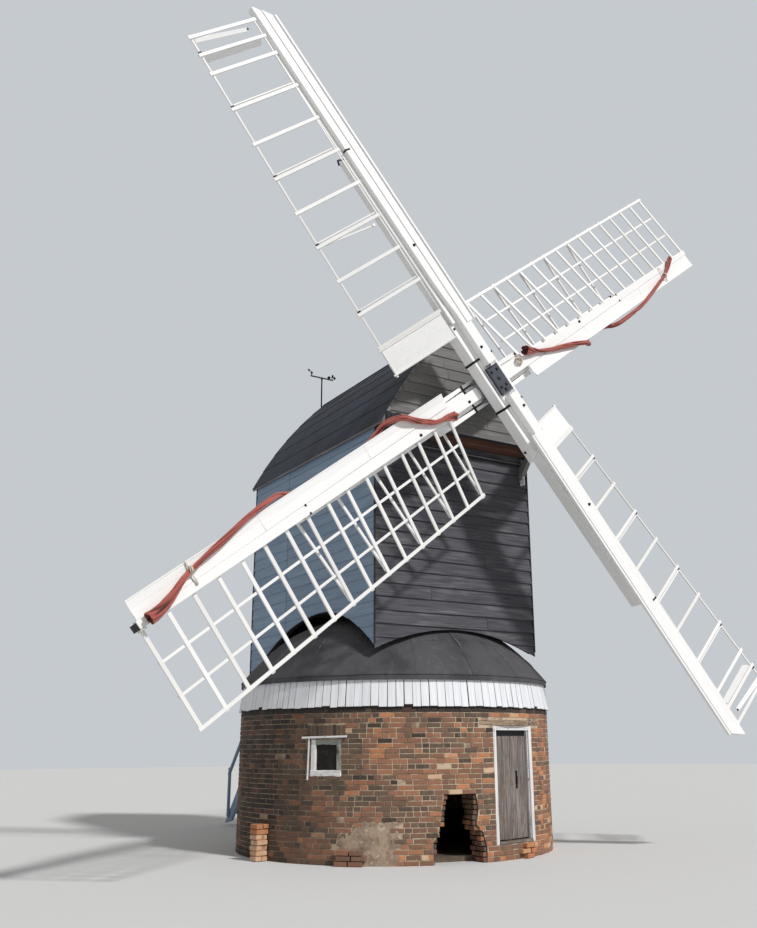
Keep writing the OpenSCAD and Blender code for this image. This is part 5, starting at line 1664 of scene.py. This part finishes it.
def addDoorIrons(there):
    front, leafFoot = door["leafFront"], door["leafFoot"]
    hx, hy, knuckle, radius = door["hinge"]
    iron, pins = [], []
    for z in (leafFoot + 0.25, door["leafHead"] - 0.25):
        strap = timber(door["ledge"], 0.006, knuckle - 0.01, bevel=0.001)
        iron.append((rod(radius, knuckle), at(hx, hy, z), 0.5))
        iron.append((strap, at(hx, door["back"] + 0.003, z + knuckle / 2), 0.5))
        eye = rod(radius, knuckle / 2 - 0.001)
        for mesh, up in ((rod(0.006, 2 * knuckle), -knuckle / 2), (eye, -knuckle / 2), (eye, knuckle + 0.001)):
            pins.append((mesh, at(hx, hy, z + up), 0.5))
    # the latch: a dark worn plate with a ring of iron
    x, z, wide, tall = door["latch"]
    for mesh, dx, y, foot in (
            (timber(tall, wide, 0.012, bevel=0.003, cuts=4), 0, 0.004, tall / 2),
            (timber(0.15, 0.055, 0.01, end=(0.02, 0.01)), 0.006, 0.002, 0.02),
            (timber(0.12, 0.014, 0.014, bevel=0.003), 0, 0.016, 0.07)):
        iron.append((mesh, upright(x + dx, front - y, z - foot), 0.5))
    # nail heads
    iron += [(rod(0.005, 0.003, 8), at(x, front + 0.003, leafFoot + z) @ turned("X", 90), 0.5)
             for z in door["nails"] for x in door["nailsAcross"]]
    joinCopies("door_irons", placed(there, iron), "black_iron", "roundhouse_door")
    joinCopies("hinge_pins", placed(there, pins), "black_iron", "roundhouse")


window = {"az": -54.7, "half": 0.259, "front": -2.7378, "foot": 1.27, "head": 1.81, "bar": 0.078, "deep": 0.09}


def addWindow():
    there = turned("Z", window["az"])
    half, front, foot, head, bar, deep = (window[k] for k in ("half", "front", "foot", "head", "bar", "deep"))
    middle = front + deep / 2
    tall, inside = head - foot, 2 * (half - bar)
    sill = timber(2 * half + 0.02, deep + 0.03, bar + 0.015, bevel=0.012, cuts=10).copy()
    for v in sill.vertices:  # the sill is thick and lumpy with old paint
        lump = ripple(v.co.x * 9, v.co.y * 20, 3)
        v.co.z += 0.014 * lump if v.co.z > 0 else 0.01 * lump
        if v.co.y < 0:
            v.co.y -= 0.006 * ripple(v.co.x * 14, 5, v.co.z * 20)
    white = [(timber(tall, bar, deep, bevel=0.005, cuts=4), upright(-half + bar / 2, middle, foot), 0.0),
             (sill, at(-half - 0.01, middle - 0.008, foot + bar / 2), 0.0)]
    joinCopies("window_paint", placed(there, white), "frameWhite", "roundhouse", ["window_frame"])
    side = timber(tall - 0.02, bar, deep, bevel=0.005, cuts=4)
    grey = [(side, upright(half - bar / 2, middle + 0.002, foot + 0.02), 0.6),
            (timber(inside, deep, bar, bevel=0.005), at(-inside / 2, middle + 0.003, head - bar / 2), 0.5)]
    joinCopies("window_bars", placed(there, grey), "windowGreen", "roundhouse")
    over = (-half - 0.15, front - 0.030, head + 0.030), (half + 0.11, front - 0.028, head + 0.044)
    beside = (-half - 0.045, front - 0.020, foot - 0.06), (-half - 0.03, front - 0.020, head + 0.02)
    pale = [beam(*over, 0.034, 0.03, bevel=0.008, tone=0.1, cuts=8), beam(*beside, 0.022, 0.024, tone=0.2)]
    joinCopies("window_strips", placed(there, pale), (finish("frameWhite"), "grey_planks"), "roundhouse")


def addDoorStep():
    # loose bricks and a lump of mortar at the right foot of the door
    copies = []
    for az, z, size, tone in ((17.6, 0.192, 0.21, 0.86), (21.2, 0.19, 0.1, 0.92), (15.4, 0.115, 0.2, 0.9),
                              (19.6, 0.112, 0.16, 0.84), (17.8, 0.04, 0.21, 0.8)):
        place = turned("Z", az) @ at(0, -house["radius"] - 0.03, z) @ turned("Z", dice.uniform(-4, 4))
        copies.append((wholeBrick(size, 0.1), place, tone))
    joinBricks("door_step_bricks", copies, [0.04] * len(copies))


ladder = {
    "half": 0.45, "thick": 0.06, "deep": 0.22, "top": (2.75, 4.42), "foot": (6.6, 0.04), "treads": 17, "going": 0.19,
    "tread": 0.036, "rail": 0.06, "railRise": 0.9, "railTall": 0.0558, "posts": (0.1, 0.4, 0.7, 0.93), "railTo": 0.95,
}


def addLadder():
    (y0, z0), (y1, z1) = ladder["top"], ladder["foot"]
    run = y1 - y0
    slope = (z0 - z1) / run
    up = ladder["deep"] * math.hypot(1, slope)
    thick, rail, going, tread = (ladder[k] for k in ("thick", "rail", "going", "tread"))
    half = ladder["half"] - thick / 2
    out = ladder["half"] + thick / 2 + rail / 2
    cheeks, treads, rails, irons = [], [], [], []
    for x in (-1, 1):
        mesh = timber(run, thick, up, bevel=0.0, cuts=10).copy()
        for v in mesh.vertices:  # cut plumb at the top and level on the ground
            v.co.z = max(z1, z0 - v.co.x * slope + (v.co.z - up / 2))
        cheeks.append((mesh, standing((0, 1, 0, x * ladder["half"]), (1, 0, 0, y0)), 0.3))
    for i in range(1, ladder["treads"] + 1):
        z = z1 + (z0 - z1) / (ladder["treads"] + 1) * i
        y = y0 + (z0 - z) / slope
        treads.append((timber(2 * half, going, tread, bevel=0.008), at(-half, y - going / 2, z - tread / 2), None))
        for x in (-1, 1):
            irons.append((rod(0.008, 0.006, 8), at(x * (half + thick), y - 0.1, z - 0.018) @ turned("Y", 90 * x), 0.5))
    joinCopies("ladder_cheeks", cheeks, "blueGrey", "buck", ["ladder_strings"])
    joinCopies("ladder_steps", treads, "oldOak", "buck", ["ladder_treads"])
    for x in (-1, 1):
        for share in ladder["posts"]:
            y = y0 + share * run + rail / 2
            z = z0 - share * run * slope - up / 2
            post = timber(up / 2 + ladder["railRise"], rail, rail, bevel=0.006)
            rails.append((post, at(x * out, y, z) @ turned("Y", -90), 0.3))
            for dz in (0.05, 0.16):
                place = at(x * (out + rail / 2), y, z + dz) @ turned("Y", 90 * x)
                irons.append((rod(0.011, 0.008, 8), place, 0.5))
        p, q = ((x * out, y0 + a, z0 - a * slope + ladder["railRise"] - 0.075) for a in (rail, ladder["railTo"] * run))
        rails.append(beam(p, q, rail + 0.004, ladder["railTall"], bevel=0.01, tone=0.2, cuts=6))
    joinCopies("ladder_rails", rails, "blueGrey", "buck", ["handrails"])
    joinCopies("ladder_bolts", irons, "black_iron", "buck")


tailDoor = {"half": 0.43, "foot": 4.42, "tall": 1.8, "y": 2.75, "planks": 5, "straps": (0.3, 1.45), "rim": 0.06}


def addTailDoor():
    # the door at the head of the ladder: planks, trim, two strap hinges and a handle
    half, foot, tall, y, rim = (tailDoor[k] for k in ("half", "foot", "tall", "y", "rim"))
    wide = 2 * half / tailDoor["planks"]
    plank = timber(tall - 0.02, wide - 0.005, 0.022, bevel=0.003, cuts=4)
    copies = [(plank, upright(-half + wide * (i + 0.5), y + 0.004, foot + 0.01), None)
              for i in range(tailDoor["planks"])]
    joinCopies("tail_door_planks", copies, "blackBoards", "buck")
    rims = [(timber(tall + rim, rim, 0.03), upright(x * (half + rim / 2), y + 0.022, foot), 0.3) for x in (-1, 1)]
    rims.append((timber(2 * (half + rim), 0.03, 0.07), at(-half - rim, y + 0.022, foot + tall + 0.035), 0.3))
    joinCopies("tail_door_trim", rims, "blueGrey", "buck")
    strap = timber(0.5, 0.006, 0.045, bevel=0.002, end=(0.006, 0.02))
    irons = [(strap, at(-half, y + 0.018, foot + z), 0.5) for z in tailDoor["straps"]]
    irons += [(rod(0.009, 0.006, 8), at(-half + dx, y + 0.021, foot + z) @ turned("X", -90), 0.5)
              for z in tailDoor["straps"] for dx in (0.06, 0.2, 0.36)]
    irons.append((rod(0.012, 0.16), at(half - 0.09, y + 0.03, foot + 0.85), 0.5))
    joinCopies("tail_door_irons", irons, "black_iron", "buck")


mast = {
    "x": -0.1, "y": 2.91, "foot": 8.35, "top": 9.83, "radius": 0.016, "arm": 0.29, "armSize": 0.026, "wall": 2.75,
    "ball": 0.026, "cup": 0.036, "spoke": 0.075,
}


def sphere(radius, segments, rings, test):
    # a ball in edit mode, with the faces that pass the test picked
    deselectAll()
    bpy.ops.mesh.primitive_uv_sphere_add(segments=segments, ring_count=rings, radius=radius)
    bpy.ops.object.mode_set(mode="EDIT")
    pick(bpy.context.object, lambda f: test(f.calc_center_median()))
    return bpy.context.object


def addMast():
    # vane with a ball at the left end of the arm, a wheel of cups at the right one
    arm, size, top, foot = (mast[k] for k in ("arm", "armSize", "top", "foot"))
    deep = mast["y"] - mast["wall"]
    parts = [(rod(mast["radius"], top - foot, 20), at(0, 0, foot)),
             (timber(2 * arm, size, size, bevel=0.003), at(-arm, 0, top - size / 2)),
             (rod(0.024, 0.05), at(0, 0, top - 0.05))]
    for z in (foot + 0.06, foot + 0.34):
        parts.append((timber(deep + 0.01, 0.05, 0.02, bevel=0.003), along(0, -deep - 0.005, z)))
        parts.append((rod(0.026, 0.04), at(0, 0, z - 0.02)))
    ball = sphere(mast["ball"], 16, 10, lambda c: c.z > 0.019)
    shift(0, 0, 0.008)
    ball = takeMesh(ball)
    cup = sphere(mast["cup"], 14, 8, lambda c: c.x > 0.001)
    bpy.ops.mesh.delete(type="FACE")
    bpy.ops.object.mode_set(mode="OBJECT")
    solidify(cup, 0.002)
    cup = takeMesh(cup)
    left, right = -arm + size, arm - size
    parts += [(rod(0.008, 0.11), at(left, 0, top)), (ball, at(left, 0, top + 0.055)),
              (timber(0.12, 0.008, 0.008, bevel=0.001), at(left - 0.06, 0, top + 0.1) @ turned("Z", 20)),
              (timber(0.07, 0.004, 0.06, bevel=0.001, end=(0.004, 0.035)),
               at(left - 0.055, -0.02, top + 0.1) @ turned("Z", 200)),
              (rod(0.008, 0.055), at(right, 0, top)), (rod(0.014, 0.02), at(right, 0, top + 0.045))]
    for angle in (20, 140, 260):
        spoke = at(right, 0, top + 0.055) @ turned("Z", angle)
        parts += [(timber(mast["spoke"], 0.005, 0.005, bevel=0.0), spoke), (cup, spoke @ along(mast["spoke"], 0, 0))]
    stand = at(mast["x"], mast["y"], 0)
    copies = [(mesh, stand @ place, 0.5) for mesh, place in parts]
    joinCopies("weather_mast", copies, "black_iron", "buck", ["wind_mast"], smooth=40)


def ropeRing(long, wide, thick=0.0065):
    # a closed turn of rope: a ring drawn out to an oval
    deselectAll()
    bpy.ops.mesh.primitive_torus_add(major_segments=28, minor_segments=8, major_radius=wide / 2, minor_radius=thick)
    ring = bpy.context.object
    bpy.ops.object.mode_set(mode="EDIT")
    pick(ring, lambda v: v.co.x > 0, "verts")
    shift((long - wide) / 2, 0, 0)
    pick(ring, lambda v: v.co.x < 0.0001, "verts")
    shift(-(long - wide) / 2, 0, 0)
    return takeMesh(ring)


ropes = {
    "wrap": (0.1, 0.092), "loop": (0.34, 0.05), "coil": (0.15, 0.1), "hank": (-0.07, 0.93), "tip": (-0.075, 7.408),
    "ties": ((1, 0.205, 6.47, -16, 3), (3, 0.17, 6.20, -14, 2)),
}


def addRopes():
    # ties round the furled cloths, with turns that go on round the board's edge and the whip
    wrap, loop, coil = (ropeRing(*ropes[k]) for k in ("wrap", "loop", "coil"))
    copies = []
    for k, x, s, way, loops in ropes["ties"]:
        place = sailPlace(k)
        for i in range(4):
            turn = turned("Z", way + dice.uniform(-12, 12)) @ turned("X", 90 + dice.uniform(-8, 8))
            copies.append((wrap, place @ at(x + 0.003 * i, s - 0.02 + 0.013 * i, 0.102) @ turn, None))
        for i in range(loops):
            turn = turned("Z", dice.uniform(-7, 7)) @ turned("X", 70 + 30 * i)
            copies.append((loop, place @ at(x - 0.03, s + 0.01 * i, 0.062 - 0.003 * i) @ turn, None))
    for i in range(7):  # a hank at the heel of the upper sail
        turn = turned("Z", 60 + dice.uniform(-16, 16)) @ turned("X", dice.uniform(-10, 10))
        x, s = (middle + dice.uniform(-0.014, 0.014) for middle in ropes["hank"])
        copies.append((coil, sailPlace(3) @ at(x, s, 0.060 + 0.008 * i) @ turn, None))
    x, s = ropes["tip"]
    for i in (-1, 0, 1):  # and turns over the tip of the lower whip
        turn = turned("Z", 90 + 6 * i) @ turned("X", 90)
        copies.append((wrap, sailPlace(1) @ at(x, s + 0.012 * i, 0.02) @ turn, None))
    joinCopies("cloth_ropes", copies, "pale_rope", "sails", smooth=60)

# Put together

addCamera()
addStudio()
layBricks()
addPatch()
addStump()
addFascia()
addRoundFelt()
print("round house dressed")
addBoards()
addCornerPosts()
addRoofFelt()
print("body dressed")
addStocks()
addWhips()
addSprings()
addCloths()
addSailBoards()
addPoll()
for which in furled:
    addFurled(which)
print("sails made")
addDoor()
addWindow()
addDoorStep()
addLadder()
addTailDoor()
addMast()
addRopes()
addRoofMark()
print("doors, ladder and ropes made")
alongX, alongY, alongZ = (1, 0, 0), (0, 1, 0), (0, 0, 1)
coats = {
    ("brick_wall",): ("wall_window", "wall_broken", "wall_over_door", "wall_right", "wall_back_right", "wall_back_left",
                      "brick_piers"),
    ("earth_floor",): ("round_floor",),
    ("dark_glass",): ("window_glass",),
    ("felt_body",): ("roof_left", "roof_right"),
    ("felt_round",): ("round_roof",),
    ("oldOak", alongZ): ("main_post",),
    ("oldOak", alongX): ("trestle", "crown_tree", "tail_beam"),
    ("oldOak", alongY): ("body_floor", "windshaft"),
    ("brownBeam", alongX): ("weather_beam",),
    ("blackBoards", alongX): ("breast", "tail_wall", "head_gable"),
    # left_side and right_side are black so that the slits between the side boards and the inside seen through the arch
    # show painted shade
    ("blackBoards", alongY): ("head_cheeks", "left_side", "right_side"),
    ("blackBoards", alongZ): ("tail_door",),
    ("paleLintel", alongX): ("door_lintel",),
}
for coat, names in coats.items():
    for name in names:
        nodes[name].data.materials.clear()
        nodes[name].data.materials.append(finish(*coat))
print("frame painted")
bpy.context.scene.view_settings.view_transform = "Standard"
